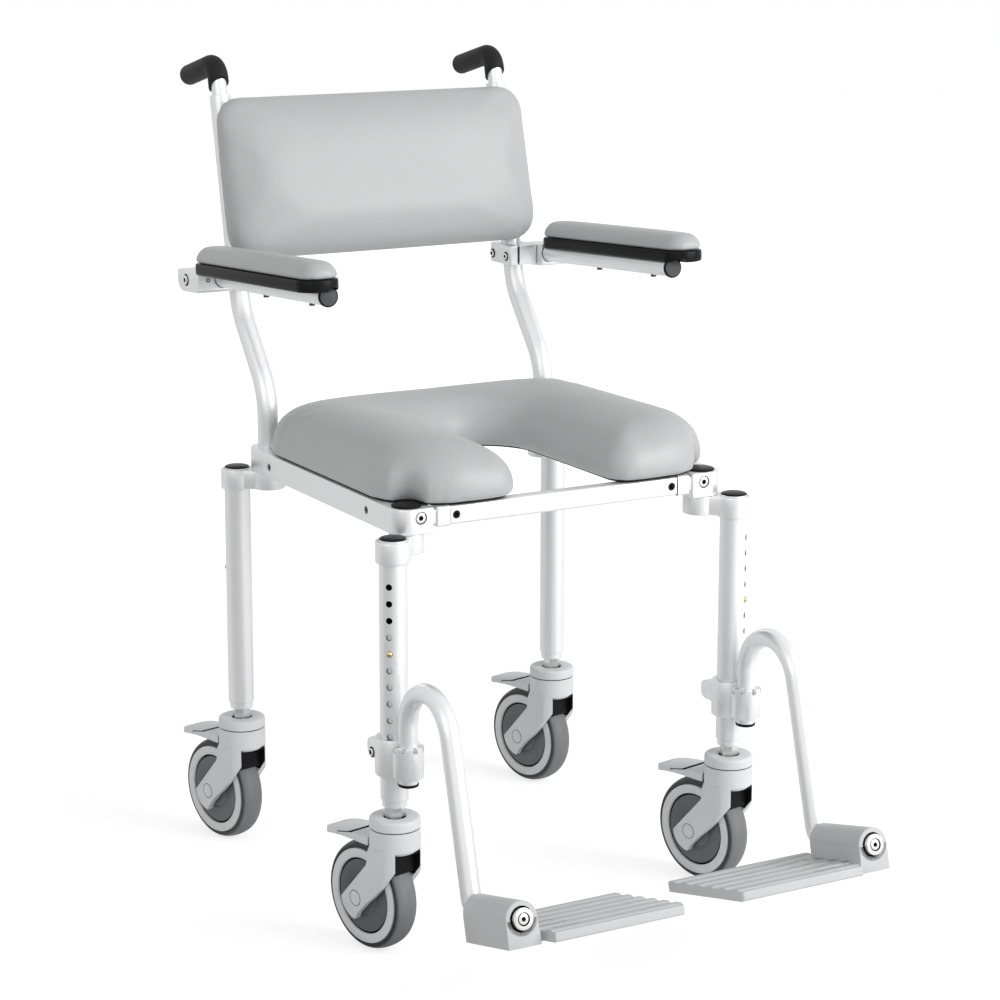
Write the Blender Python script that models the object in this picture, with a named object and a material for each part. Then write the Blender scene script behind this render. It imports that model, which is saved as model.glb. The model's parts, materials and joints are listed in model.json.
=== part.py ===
"""Mobile shower commode chair: a light tube frame on four height-adjustable legs with braked casters.

Metres, +Z up. The sitter faces -Y and the sitter's left hand is at +X. Every piece is one closed solid.
"""

import math

import bmesh
import bpy
from mathutils import Matrix, Vector

# Legs and seat frame
SEAT_HALF_WIDTH = 0.2215
SEAT_OVERHANG = 0.027
CORNER_X = SEAT_HALF_WIDTH - SEAT_OVERHANG
CORNER_Y = 0.1825
LEG_OUT = 0.0305
LEG_ALONG = 0.0265
LEG_X = CORNER_X + LEG_OUT
LEG_Y = CORNER_Y + LEG_ALONG
CORNER_RADIUS = 0.021
FRAME_TOP = 0.5135
RAIL_HEIGHT = 0.029
RAIL_WIDTH = 0.020
EAR_REACH = 0.024
EAR_WALL = 0.004
EAR_SLOPE = 0.012
BAR_HEIGHT = 0.0235
BAR_DEPTH = 0.020
BAR_GAP = 0.0045
BAR_EDGE = 0.003
SLEEVE_LENGTH = 0.016
SLEEVE_STEP = 0.0008
TENON_RADIUS = 0.007
TENON_LENGTH = 0.010
SEAT_GAP = 0.0003
FACE_GAP = 0.0005

# Leg brackets, leg tubes and their height adjustment
BRACKET_HEIGHT = 0.0265
COLLAR_WALL = 0.0046
STUD_RADIUS = 0.012
STUD_TOP_BELOW_FRAME = 0.0015
LEG_RADIUS = 0.015875
LEG_WALL = 0.0015
LEG_PLUG = 0.003
HOLES_BELOW_FRAME = 0.079
HOLE_TOP = FRAME_TOP - HOLES_BELOW_FRAME
HOLE_PITCH = 0.01905
HOLE_COUNT = 11
HOLE_RADIUS = 0.0037
LOCK_HOLE = 4
INNER_ABOVE_BUTTON = 0.0237
INNER_WALL = 0.0015
INNER_FOOT = 0.010
STEM_FLATS = 0.019
PIVOT_RADIUS = 0.0055
PIVOT_LENGTH = 0.020
BUTTON_PROUD = 0.0026
BUTTON_FLANGE_RADIUS = 0.0048
BUTTON_FLANGE_OUT = 0.0108
BUTTON_FLANGE_DEPTH = 0.0022

# Casters
WHEEL_RADIUS = 0.0635
WHEEL_WIDTH = 0.0326
TREAD_FLAT = 0.020
TYRE_SHOULDER = 0.0583
TYRE_INSET = 0.0012
HUB_RADIUS = 0.0550
HUB_DISC_RADIUS = 0.0432
HUB_DISC_RECESS = 0.0020
AXLE_RADIUS = 0.005
CASTER_TRAIL = 0.0396
CASTER_YAW = math.radians(12.5)
TREAD_CLEARANCE = 0.0035
FORK_WINDOW_TOP = 2 * WHEEL_RADIUS + TREAD_CLEARANCE
FORK_HEAD_HEIGHT = 0.0395
CASTER_TOP = FORK_WINDOW_TOP + FORK_HEAD_HEIGHT
STEM_SHOWING = 0.0085
INNER_BOTTOM = CASTER_TOP + STEM_SHOWING
INNER_SHOWING = 0.0085
LEG_BOTTOM = INNER_BOTTOM + INNER_SHOWING
FORK_RADIUS = 0.029
FORK_CAP_HEIGHT = 0.0155
FORK_GROOVE = 0.0012
FORK_DISH_DEPTH = 0.0025
FORK_DISH_RADIUS = 0.0125
FORK_CROWN_RADIUS = 0.0245
FORK_HALF_GAP = 0.0185
FORK_HALF_WIDTH = 0.0265
FORK_STEP = 0.0005
FORK_OVERLAP = 0.004
FORK_FRONT_LOW = 0.1165
FORK_KNEE = 0.0175
FORK_TOE = (0.0006, -0.0235)
FORK_HEEL = (0.0245, -0.0060)
FORK_CALF = 0.0215
FORK_CALF_HEIGHT = 0.1125
PEDAL_PIVOT_BACK = 0.021
PEDAL_ABOVE_WINDOW = 0.009
PEDAL_PIVOT_HEIGHT = FORK_WINDOW_TOP + PEDAL_ABOVE_WINDOW
PEDAL_HALF_WIDTH = 0.0215
PEDAL_REACH = 0.1045
PEDAL_PIN_RADIUS = 0.003
PEDAL_BEHIND_FORK = 0.0015
PEDAL_TOP_DROP = 0.0165
PEDAL_TIP_DROP = 0.006
PEDAL_END_RADIUS = 0.014
TONGUE_HALF_WIDTH = 0.011
TONGUE_HALF_HEIGHT = 0.005
POCKET_SPARE = 0.0015

# Seat
SEAT_PAST_FRONT = 0.031
SEAT_PAST_REAR = 0.0005
SEAT_FRONT = CORNER_Y + SEAT_PAST_FRONT
SEAT_REAR = CORNER_Y + SEAT_PAST_REAR
SEAT_FRONT_CORNER = 0.092
SEAT_REAR_CORNER = 0.077
SEAT_THICKNESS = 0.0625
SEAT_TUCK = 0.004
SEAT_CROWN = 0.068
SEAT_WAIST = 0.16
SEAT_FULLNESS = 2.3
SLOT_HALF_WIDTH = 0.058
SLOT_BACK = 0.050
SLOT_CORNER = 0.036
BOARD_THICKNESS = 0.003
BOARD_INSET = 0.008

# Back
BACK_RADIUS = 0.0127
BACK_FOOT_LENGTH = 0.0665
BACK_SETBACK = 0.0735
BACK_SETBACK_RISE = 0.092
BACK_BEND_LOW = FRAME_TOP + BACK_FOOT_LENGTH
BACK_BEND_HIGH = (CORNER_Y + BACK_SETBACK, BACK_BEND_LOW + BACK_SETBACK_RISE)
BACK_LEAN = math.radians(11.45)
BACK_LENGTH = 0.26344
BACK_TOP = (BACK_BEND_HIGH[0] + BACK_LENGTH * math.sin(BACK_LEAN),
            BACK_BEND_HIGH[1] + BACK_LENGTH * math.cos(BACK_LEAN))
BACK_BEND_RADIUS = 0.085
BACK_SEAT_DEPTH = 0.020
HANDLE_RADIUS = 0.0095
HANDLE_RISE = 0.0405
HANDLE_LEAN = math.radians(12.4)
HANDLE_LENGTH = 0.0869
HANDLE_DROOP = math.radians(13.5)
HANDLE_CORNER = (BACK_TOP[0] + HANDLE_RISE * math.sin(HANDLE_LEAN),
                 BACK_TOP[1] + HANDLE_RISE * math.cos(HANDLE_LEAN))
HANDLE_END = (HANDLE_CORNER[0] + HANDLE_LENGTH * math.cos(HANDLE_DROOP),
              HANDLE_CORNER[1] - HANDLE_LENGTH * math.sin(HANDLE_DROOP))
HANDLE_BEND_RADIUS = 0.019
GRIP_RADIUS = 0.0128
GRIP_END = 0.006
GRIP_RIM_RISE = 0.0155
GRIP_RIM_SLANT = math.radians(45.0)
CUSHION_INSIDE_SEAT = 0.0049
CUSHION_HALF_WIDTH = SEAT_HALF_WIDTH - CUSHION_INSIDE_SEAT
CUSHION_BELOW_TOP = 0.0024
CUSHION_HIGH = BACK_LENGTH - CUSHION_BELOW_TOP
CUSHION_THICKNESS = 0.0475
CUSHION_WEDGE = 0.22
CUSHION_CORNER = 0.034
CUSHION_TUCK = 0.004
CUSHION_CROWN = 0.085
CUSHION_WAIST = 0.10
CUSHION_FULLNESS = 4.0

# Armrests
ARM_OUT = 0.0351
ARM_X = CORNER_X + ARM_OUT
ARM_TUBE_RADIUS = 0.0111
ARM_ABOVE_BEND = 0.0425
ARM_BEHIND_BEND = 0.008
ARM_PIVOT_Y = BACK_BEND_HIGH[0] + ARM_BEHIND_BEND
ARM_PIVOT_Z = BACK_BEND_HIGH[1] + ARM_ABOVE_BEND
ARM_TILT = math.radians(3.5)
ARM_REACH = 0.3277
ARM_PIN_RADIUS = 0.007
ARM_PIN_LENGTH = 0.042
ARM_BLOCK_REAR = 0.027
ARM_BLOCK_FRONT = 0.036
ARM_BLOCK_DEPTH = 0.0165
ARM_BLOCK_WIDTH = 0.046
ARM_BLOCK_ROUND = 0.016
CLAMP_INBOARD = 0.018
CLAMP_OUTBOARD = 0.0225
CLAMP_HALF_DEPTH = 0.026
CLAMP_HALF_HEIGHT = 0.0125
CLAMP_Z = ARM_PIVOT_Z
CUSHION_ABOVE_CLAMP = 0.00204
CUSHION_LOW = ARM_ABOVE_BEND + CLAMP_HALF_HEIGHT + CUSHION_ABOVE_CLAMP
CLAMP_EDGE = 0.003
PAD_OFFSET = 0.0135
PAD_HALF_WIDTH = 0.0255
PAD_REAR = 0.024
PAD_FRONT = 0.349
PAD_END_RADIUS = 0.0235
BASE_THICKNESS = 0.0140
BASE_NEST = 0.0045
PAD_THICKNESS = 0.0205
PAD_TUCK = 0.0005
PAD_CROWN = 0.018
PAD_WAIST = 0.12
PAD_FULLNESS = 2.0

# Footrests
SOCKET_FORWARD = 0.0335
SOCKET_RADIUS = 0.0175
SOCKET_LOW = 0.2215
SOCKET_TOP = 0.2583
NOTCH_WIDTH = 0.0058
NOTCH_DEPTH = 0.006
NOTCH_SPREAD = math.radians(45.0)
FOOT_CLAMP_LOW = 0.2165
FOOT_CLAMP_TOP = 0.2600
FOOT_CLAMP_WALL = 0.0056
FOOT_EAR_BACK = 0.046
FOOT_EAR_HALF = 0.011
FOOT_EAR_HALF_HEIGHT = 0.0115
FOOT_EAR_ROUND = 0.0095
WEB_HALF_WIDTH = 0.0108
RELIEF_SPARE = 0.0008
FOOT_TUBE_RADIUS = 0.0111
FOOT_TUBE_LOW = 0.2150
NECK_TOP = 0.330
NECK_RADIUS = 0.050
NECK_HEEL = (-0.3896, 0.1165)
HEEL_RADIUS = 0.014
PLATE_TILT = math.radians(14.5)
BARREL_FRONT = 0.1084
BARREL_REAR = 0.0130
BARREL_RADIUS = 0.019
CAP_RADIUS = 0.0118
CAP_THICKNESS = 0.0085
CAP_RECESS = 0.0040
CAP_RECESS_RADIUS = 0.0138
PLATE_REACH = 0.189
PLATE_UNDER_BARREL = 0.004
PLATE_REAR_EDGE = 0.0285
PLATE_FRONT_EDGE = 0.1240
PLATE_TOP_DROP = 0.0165
PLATE_THICKNESS = 0.0125
BODY_BOTTOM = 0.030
BODY_INNER = 0.030
RIDGE_COUNT = 6
RIDGE_HEIGHT = 0.0018
RIDGE_SHARE = 0.62
SLOT_COUNT = 5
DRAIN_WIDTH = 0.0075
DRAIN_LENGTH = 0.034
DRAIN_FROM_AXIS = 0.040

# Joining and cutting: how deep joined solids meet, how far a cut runs past its face, and a broken edge
JOIN = 0.001
PAST = 0.01
EDGE = 0.001

# Origin: the middle of the whole chair's box, on the floor
LEGS_BEHIND_ORIGIN = 0.05368

# How finely round shapes are cut
WHEEL_SIDES = 24
FORK_SIDES = 18
TUBE_SIDES = 16
BAR_SIDES = 12
SOFT_STEPS = 6
PIN_SIDES = 8
HOLE_SIDES = 6
CORNER_STEPS = 5
BEND_STEPS = 5

LEG_CORNERS = {
    "front_left": (1, -1),
    "front_right": (-1, -1),
    "rear_left": (1, 1),
    "rear_right": (-1, 1),
}
SIDES = {"left": 1, "right": -1}


# Scene and materials

def clear_scene():
    for item in list(bpy.data.objects):
        bpy.data.objects.remove(item)


def finish_material(name, colour, roughness, metallic=0.0):
    made = bpy.data.materials.new(name)
    made.use_nodes = True
    shader = made.node_tree.nodes["Principled BSDF"]
    shader.inputs["Base Color"].default_value = (*colour, 1.0)
    shader.inputs["Roughness"].default_value = roughness
    shader.inputs["Metallic"].default_value = metallic
    made.diffuse_color = (*colour, 1.0)
    return made


def make_materials():
    return {
        "satin_aluminium": finish_material("satin_aluminium", (0.80, 0.81, 0.82), 0.38, 0.55),
        "bright_steel": finish_material("bright_steel", (0.72, 0.72, 0.71), 0.22, 1.0),
        "brass": finish_material("brass", (0.60, 0.50, 0.24), 0.30, 1.0),
        "grey_plastic": finish_material("grey_plastic", (0.52, 0.54, 0.56), 0.45),
        "hub_grey": finish_material("hub_grey", (0.12, 0.125, 0.13), 0.50),
        "tyre_grey": finish_material("tyre_grey", (0.16, 0.17, 0.175), 0.60),
        "plate_grey": finish_material("plate_grey", (0.40, 0.41, 0.42), 0.50),
        "black_plastic": finish_material("black_plastic", (0.012, 0.012, 0.013), 0.30),
        "grip_black": finish_material("grip_black", (0.02, 0.02, 0.021), 0.65),
        "grey_vinyl": finish_material("grey_vinyl", (0.42, 0.43, 0.44), 0.42),
    }


def add_anchor(name, place, parent=None):
    anchor = bpy.data.objects.new(name, None)
    anchor.location = place
    anchor.parent = parent
    bpy.context.collection.objects.link(anchor)
    return anchor


def add_piece(name, solid, material, parent, place=(0, 0, 0), turn=(0, 0, 0)):
    """Make one named object from a bmesh, with its own origin at place."""
    bmesh.ops.recalc_face_normals(solid, faces=solid.faces)
    mesh = bpy.data.meshes.new(name)
    solid.to_mesh(mesh)
    mesh.shade_smooth()
    mesh.set_sharp_from_angle(angle=math.radians(32))
    mesh.materials.append(material)
    piece = bpy.data.objects.new(name, mesh)
    piece.location = place
    piece.rotation_euler = turn
    piece.parent = parent
    bpy.context.collection.objects.link(piece)
    return piece


# Outlines and paths

def arc(centre, radius, start, end, steps):
    return [Vector((centre[0] + radius * math.cos(start + (end - start) * step / steps),
                    centre[1] + radius * math.sin(start + (end - start) * step / steps)))
            for step in range(steps + 1)]


def inset_corners(corners, inset):
    """Move every edge of a counter-clockwise polygon inwards by the same distance."""
    moved = []
    count = len(corners)
    for index, corner in enumerate(corners):
        before = (corner - corners[index - 1]).normalized()
        after = (corners[(index + 1) % count] - corner).normalized()
        inward_before = Vector((-before.y, before.x))
        inward_after = Vector((-after.y, after.x))
        share = inset / (1.0 + inward_before.dot(inward_after))
        moved.append(corner + (inward_before + inward_after) * share)
    return moved


def rounded_outline(corners, radii, steps=CORNER_STEPS, inset=0.0):
    """A counter-clockwise outline with round corners, drawn inwards by inset."""
    corners = [Vector(corner) for corner in corners]
    points = []
    count = len(corners)
    moved = inset_corners(corners, inset)
    for index, corner in enumerate(moved):
        before = (corner - moved[index - 1]).normalized()
        after = (moved[(index + 1) % count] - corner).normalized()
        turn = math.atan2(before.x * after.y - before.y * after.x, before.dot(after))
        radius = max(radii[index] - math.copysign(inset, turn), EDGE)
        run = radius * math.tan(abs(turn) / 2)
        start = corner - before * run
        side = math.copysign(1.0, turn)
        centre = start + Vector((-before.y, before.x)) * side * radius
        first = math.atan2((start - centre).y, (start - centre).x)
        points.extend(arc(centre, radius, first, first + turn, steps))
    return points


def rounded_path(corners, radii, steps=BEND_STEPS):
    """A path in the YZ plane through straight runs and bends; the ends stay where they are."""
    points = [Vector(corners[0])]
    for index in range(1, len(corners) - 1):
        corner = Vector(corners[index])
        before = (corner - Vector(corners[index - 1])).normalized()
        after = (Vector(corners[index + 1]) - corner).normalized()
        turn = math.atan2(before.x * after.y - before.y * after.x, before.dot(after))
        radius = radii[index - 1]
        start = corner - before * radius * math.tan(abs(turn) / 2)
        centre = start + Vector((-before.y, before.x)) * math.copysign(radius, turn)
        first = math.atan2((start - centre).y, (start - centre).x)
        points.extend(arc(centre, radius, first, first + turn, steps))
    points.append(Vector(corners[-1]))
    return points


def soft_profile(tuck, crown, waist, fullness, steps=SOFT_STEPS):
    """(inset, rise) pairs up a cushion's side: tucked in at its base, full at the waist, crowned on top."""
    pairs = [(tuck, 0.0), (tuck / 4, waist / 2)]
    for step in range(steps + 1):
        turn = math.pi / 2 * step / steps
        share = math.sin(turn) ** (2 / fullness)
        pairs.append((crown * (1 - math.cos(turn)), waist + (1 - waist) * share))
    return pairs


# Solids

def loft(rings, closed=False):
    """Join rings of equally many points; open ends are capped, a closed loft joins last to first."""
    solid = bmesh.new()
    loops = [[solid.verts.new(point) for point in ring] for ring in rings]
    pairs = list(zip(loops, loops[1:]))
    if closed:
        pairs.append((loops[-1], loops[0]))
    for low, high in pairs:
        count = len(low)
        for index in range(count):
            after = (index + 1) % count
            solid.faces.new((low[index], low[after], high[after], high[index]))
    if not closed:
        solid.faces.new(loops[0])
        solid.faces.new(list(reversed(loops[-1])))
    bmesh.ops.recalc_face_normals(solid, faces=solid.faces)
    return solid


def prism(outline, low, high):
    return loft([[(point[0], point[1], level) for point in outline] for level in (low, high)])


def turned(profile, sides, closed=False):
    """Turn (radius, height) points about Z. An open profile is capped flat at both ends."""
    turn = 2 * math.pi / sides
    rings = [[(radius * math.cos(turn * step), radius * math.sin(turn * step), height)
              for step in range(sides)] for radius, height in profile]
    return loft(rings, closed)


def box(low, high):
    plan = [(low[0], low[1]), (high[0], low[1]), (high[0], high[1]), (low[0], high[1])]
    return prism(plan, low[2], high[2])


def swept(path, radii, sides=BAR_SIDES):
    """A round bar along a path in the YZ plane, with one radius a point."""
    turn = 2 * math.pi / sides
    rings = []
    for index, point in enumerate(path):
        before = path[max(index - 1, 0)]
        after = path[min(index + 1, len(path) - 1)]
        along = (after - before).normalized()
        out = Vector((0.0, -along.y, along.x))
        centre = Vector((0.0, point.x, point.y))
        rings.append([centre + radii[index] * (Vector((math.cos(turn * step), 0.0, 0.0))
                                               + out * math.sin(turn * step)) for step in range(sides)])
    return loft(rings)


def moved(solid, matrix):
    solid.transform(matrix)
    bmesh.ops.recalc_face_normals(solid, faces=solid.faces)
    return solid


def along_x(solid, place=(0, 0, 0)):
    """Lay a solid made along Z along X, then move it."""
    return moved(solid, Matrix.Translation(place) @ Matrix.Rotation(math.pi / 2, 4, "Y"))


def side_profile(outline, low, high):
    """A prism whose outline is drawn in the YZ plane and which runs along X."""
    solid = prism(outline, low, high)
    turn = Matrix(((0, 0, 1, 0), (1, 0, 0, 0), (0, 1, 0, 0), (0, 0, 0, 1)))
    return moved(solid, turn)


def mirrored(solid, side):
    if side < 0:
        moved(solid, Matrix.Scale(-1, 4, (1, 0, 0)))
    return solid


def scratch_object(solid):
    mesh = bpy.data.meshes.new("scratch")
    bmesh.ops.recalc_face_normals(solid, faces=solid.faces)
    solid.to_mesh(mesh)
    solid.free()
    item = bpy.data.objects.new("scratch", mesh)
    bpy.context.collection.objects.link(item)
    return item


def combined(base, tools, operation):
    """Join tools to the base, or cut them out of it, one after another."""
    for tool in tools:
        base_item = scratch_object(base)
        tool_item = scratch_object(tool)
        step = base_item.modifiers.new("combine", "BOOLEAN")
        step.operation = operation
        step.solver = "EXACT"
        step.object = tool_item
        graph = bpy.context.evaluated_depsgraph_get()
        result = base_item.evaluated_get(graph)
        base = bmesh.new()
        base.from_mesh(result.to_mesh())
        result.to_mesh_clear()
        for item in (base_item, tool_item):
            mesh = item.data
            bpy.data.objects.remove(item)
            bpy.data.meshes.remove(mesh)
    return base


def joined(base, *tools):
    return combined(base, tools, "UNION")


def cut(base, *tools):
    return combined(base, tools, "DIFFERENCE")


def shared(base, *tools):
    return combined(base, tools, "INTERSECT")


# Casters

def caster_fork_solid():
    """Swivel head with its cap, two legs swept back to the axle, and the axle between them."""
    cap_low = CASTER_TOP - FORK_CAP_HEIGHT
    bore = PIVOT_RADIUS + SEAT_GAP
    pivot_low = CASTER_TOP - PIVOT_LENGTH - SEAT_GAP
    dish = CASTER_TOP - FORK_DISH_DEPTH
    neck = FORK_RADIUS - FORK_GROOVE
    head = turned([
        (bore, pivot_low), (bore, dish), (FORK_DISH_RADIUS, dish), (FORK_DISH_RADIUS + EDGE, CASTER_TOP - EDGE),
        (FORK_CROWN_RADIUS, CASTER_TOP), (FORK_RADIUS - 2 * EDGE, CASTER_TOP - EDGE / 2),
        (FORK_RADIUS, CASTER_TOP - 2.5 * EDGE), (FORK_RADIUS, cap_low), (neck, cap_low),
        (neck, cap_low - FORK_GROOVE), (FORK_RADIUS, cap_low - FORK_GROOVE), (FORK_RADIUS, FORK_WINDOW_TOP)],
        FORK_SIDES)

    skin = FORK_RADIUS - FORK_STEP
    lean = math.acos(FORK_HALF_WIDTH / skin)
    back = CASTER_TRAIL + FORK_RADIUS
    plan = ([Vector((-FORK_HALF_WIDTH, back)), Vector((FORK_HALF_WIDTH, back))]
            + arc((0, 0), skin, -lean, -math.pi + lean, FORK_SIDES // 2 - 1))
    legs = prism(plan, 0.0, FORK_WINDOW_TOP + FORK_OVERLAP)
    axle = Vector((CASTER_TRAIL, WHEEL_RADIUS))
    outline = [
        Vector((-back, FORK_WINDOW_TOP + back)), Vector((-back, FORK_FRONT_LOW + back - FORK_RADIUS)),
        Vector((-FORK_RADIUS, FORK_FRONT_LOW)), axle + Vector((-CASTER_TRAIL, FORK_KNEE)),
        axle + Vector(FORK_TOE), axle + Vector(FORK_HEEL), Vector((FORK_CALF, FORK_CALF_HEIGHT)),
        Vector((FORK_CALF, FORK_WINDOW_TOP + back))]
    legs = shared(legs, side_profile(outline, -2 * FORK_HALF_WIDTH, 2 * FORK_HALF_WIDTH))
    window = FORK_WINDOW_TOP - FORK_STEP
    legs = cut(legs, box((-FORK_HALF_GAP, -2 * back, 0.0), (FORK_HALF_GAP, 2 * back, window)))
    span = FORK_HALF_GAP + JOIN
    axle_bar = turned([(AXLE_RADIUS, -span), (AXLE_RADIUS, span)], PIN_SIDES)
    along_x(axle_bar, (0, CASTER_TRAIL, WHEEL_RADIUS))

    half = TONGUE_HALF_WIDTH + SEAT_GAP
    tall = TONGUE_HALF_HEIGHT + POCKET_SPARE
    pocket = box((-half, PEDAL_PIVOT_BACK - tall, PEDAL_PIVOT_HEIGHT - tall),
                 (half, 2 * FORK_RADIUS, PEDAL_PIVOT_HEIGHT + tall))
    pin = turned([(PEDAL_PIN_RADIUS, -half - JOIN), (PEDAL_PIN_RADIUS, half + JOIN)], PIN_SIDES)
    along_x(pin, (0, PEDAL_PIVOT_BACK, PEDAL_PIVOT_HEIGHT))
    return joined(cut(joined(head, legs), pocket), pin, axle_bar)


def brake_pedal_solid():
    """Foot pedal about its own pin: a tongue in the fork's pocket and an arched tread round the fork's head."""
    back = PEDAL_REACH - PEDAL_PIVOT_BACK
    near = FORK_CALF + PEDAL_BEHIND_FORK - PEDAL_PIVOT_BACK
    hollow = FORK_RADIUS + PEDAL_BEHIND_FORK
    under = -2 * TONGUE_HALF_HEIGHT
    top = TONGUE_HALF_HEIGHT + EDGE / 2
    shares = (0.45, 0.65, 0.85, 1.0)
    lower = [Vector((back * share, under - PEDAL_TIP_DROP * share ** 4)) for share in shares]
    upper = [Vector((back * share, top - PEDAL_TOP_DROP * share ** 4)) for share in reversed(shares)]
    outline = [Vector((near, under))] + lower + upper + [Vector((near, top))]
    tread = side_profile(outline, -PEDAL_HALF_WIDTH, PEDAL_HALF_WIDTH)
    plan = rounded_outline(
        [(-PEDAL_HALF_WIDTH, near - EDGE), (PEDAL_HALF_WIDTH, near - EDGE),
         (PEDAL_HALF_WIDTH, back + EDGE), (-PEDAL_HALF_WIDTH, back + EDGE)],
        [2 * EDGE, 2 * EDGE, PEDAL_END_RADIUS, PEDAL_END_RADIUS], steps=4)
    tread = shared(tread, prism(plan, -PEDAL_REACH, PEDAL_REACH))
    head = turned([(hollow, -PEDAL_REACH), (hollow, PEDAL_REACH)], FORK_SIDES)
    tread = cut(tread, moved(head, Matrix.Translation((0, -PEDAL_PIVOT_BACK, 0))))
    tongue = box((-TONGUE_HALF_WIDTH, -TONGUE_HALF_HEIGHT, -TONGUE_HALF_HEIGHT),
                 (TONGUE_HALF_WIDTH, hollow - PEDAL_PIVOT_BACK + JOIN, TONGUE_HALF_HEIGHT))
    hole = PEDAL_PIN_RADIUS + SEAT_GAP
    bore = turned([(hole, -PEDAL_HALF_WIDTH), (hole, PEDAL_HALF_WIDTH)], PIN_SIDES)
    return cut(joined(tread, tongue), along_x(bore))


def wheel_hub_solid():
    half = WHEEL_WIDTH / 2
    disc = half - HUB_DISC_RECESS
    bore = AXLE_RADIUS + SEAT_GAP
    ring = HUB_DISC_RADIUS + HUB_DISC_RECESS / 2
    side = [(HUB_RADIUS, half), (ring, half), (HUB_DISC_RADIUS, disc), (bore, disc)]
    other = [(radius, -height) for radius, height in reversed(side)]
    return along_x(turned(side + other, WHEEL_SIDES, closed=True))


def wheel_tyre_solid():
    inner = HUB_RADIUS + SEAT_GAP
    edge = WHEEL_WIDTH / 2 - TYRE_INSET
    shoulder = (TREAD_FLAT / 2 + edge + EDGE) / 2
    middle = (WHEEL_RADIUS + TYRE_SHOULDER) / 2 + EDGE
    side = [(WHEEL_RADIUS, TREAD_FLAT / 2), (middle, shoulder), (TYRE_SHOULDER, edge), (inner, edge)]
    other = [(radius, -height) for radius, height in reversed(side)]
    return along_x(turned(side + other, WHEEL_SIDES, closed=True))


# Legs

def outward(side_x, side_y):
    return math.atan2(side_y, side_x)


def leg_tube_solid(angle):
    """Outer leg: closed at the top by its plug, open below, with a row of lock holes facing outwards."""
    inner = LEG_RADIUS - LEG_WALL
    top = FRAME_TOP - RAIL_HEIGHT - SEAT_GAP + LEG_PLUG * 0.5
    tube = turned([(inner, top - LEG_PLUG), (inner, LEG_BOTTOM), (LEG_RADIUS, LEG_BOTTOM), (LEG_RADIUS, top)],
                  TUBE_SIDES)
    for index in range(HOLE_COUNT):
        hole = turned([(HOLE_RADIUS, inner * 0.6), (HOLE_RADIUS, LEG_RADIUS * 1.2)], HOLE_SIDES)
        lay = Matrix.Rotation(angle, 4, "Z") @ Matrix.Rotation(math.pi / 2, 4, "Y")
        level = Matrix.Translation((0, 0, HOLE_TOP - HOLE_PITCH * index))
        tube = cut(tube, moved(hole, level @ lay))
    return tube


def leg_extension_solid(angle):
    """Inner leg: an open-topped tube with a foot, the hexagon of the caster stem and its pivot."""
    outer = LEG_RADIUS - LEG_WALL - SEAT_GAP
    inner = outer - INNER_WALL
    button_level = HOLE_TOP - HOLE_PITCH * LOCK_HOLE
    inner_top = button_level + INNER_ABOVE_BUTTON
    tube = turned([(inner, INNER_BOTTOM + INNER_FOOT), (inner, inner_top), (outer, inner_top),
                   (outer, INNER_BOTTOM)], TUBE_SIDES)
    across = STEM_FLATS / math.sqrt(3)
    hexagon = turned([(across, CASTER_TOP - FORK_DISH_DEPTH + SEAT_GAP), (across, INNER_BOTTOM + JOIN)], 6)
    pivot = turned([(PIVOT_RADIUS, CASTER_TOP - PIVOT_LENGTH), (PIVOT_RADIUS, INNER_BOTTOM)], PIN_SIDES)
    hole = turned([(HOLE_RADIUS, inner * 0.6), (HOLE_RADIUS, LEG_RADIUS)], HOLE_SIDES)
    lay = Matrix.Rotation(angle, 4, "Z") @ Matrix.Rotation(math.pi / 2, 4, "Y")
    moved(hole, Matrix.Translation((0, 0, button_level)) @ lay)
    return cut(joined(tube, hexagon, pivot), hole)


def height_button_solid(angle):
    """Snap button: a domed pin through both tubes, held inside by its flange."""
    pin = HOLE_RADIUS - SEAT_GAP
    tip = LEG_RADIUS + BUTTON_PROUD
    flange_in = BUTTON_FLANGE_OUT - BUTTON_FLANGE_DEPTH
    button = turned([(BUTTON_FLANGE_RADIUS, flange_in), (BUTTON_FLANGE_RADIUS, BUTTON_FLANGE_OUT),
                     (pin, BUTTON_FLANGE_OUT), (pin, tip - 1.5 * EDGE), (pin * 0.7, tip - EDGE / 2),
                     (pin * 0.3, tip)], HOLE_SIDES)
    return moved(button, Matrix.Rotation(angle, 4, "Z") @ Matrix.Rotation(math.pi / 2, 4, "Y"))


def leg_bracket_solid(side_x, side_y):
    """Oblong link under a frame corner that carries the leg in a round collar."""
    top = FRAME_TOP - RAIL_HEIGHT - SEAT_GAP
    low = top - BRACKET_HEIGHT
    reach = Vector((LEG_X - CORNER_X, LEG_Y - CORNER_Y))
    angle = math.atan2(reach.y, reach.x)
    collar = LEG_RADIUS + SEAT_GAP + COLLAR_WALL
    near = CORNER_RADIUS - EDGE
    slope = math.asin((near - collar) / reach.length)
    quarter = math.pi / 2
    plan = (arc((0, 0), near, angle + quarter - slope, angle + 3 * quarter + slope, 7)
            + arc(reach, collar, angle - quarter + slope, angle + quarter - slope, 9))
    link = prism(plan, low, top)
    bore = turned([(LEG_RADIUS + SEAT_GAP, low - PAST), (LEG_RADIUS + SEAT_GAP, top + PAST)], TUBE_SIDES)
    link = cut(link, moved(bore, Matrix.Translation((reach.x, reach.y, 0))))
    if side_y < 0:
        stud_top = FRAME_TOP - STUD_TOP_BELOW_FRAME
        link = joined(link, turned([(STUD_RADIUS, top - JOIN), (STUD_RADIUS, stud_top)], TUBE_SIDES))
    else:
        seat = BACK_RADIUS + SEAT_GAP
        link = cut(link, turned([(seat, top - BACK_SEAT_DEPTH), (seat, top + PAST)], TUBE_SIDES))
    return moved(link, Matrix.Diagonal((side_x, side_y, 1, 1)))


# Seat frame

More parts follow.
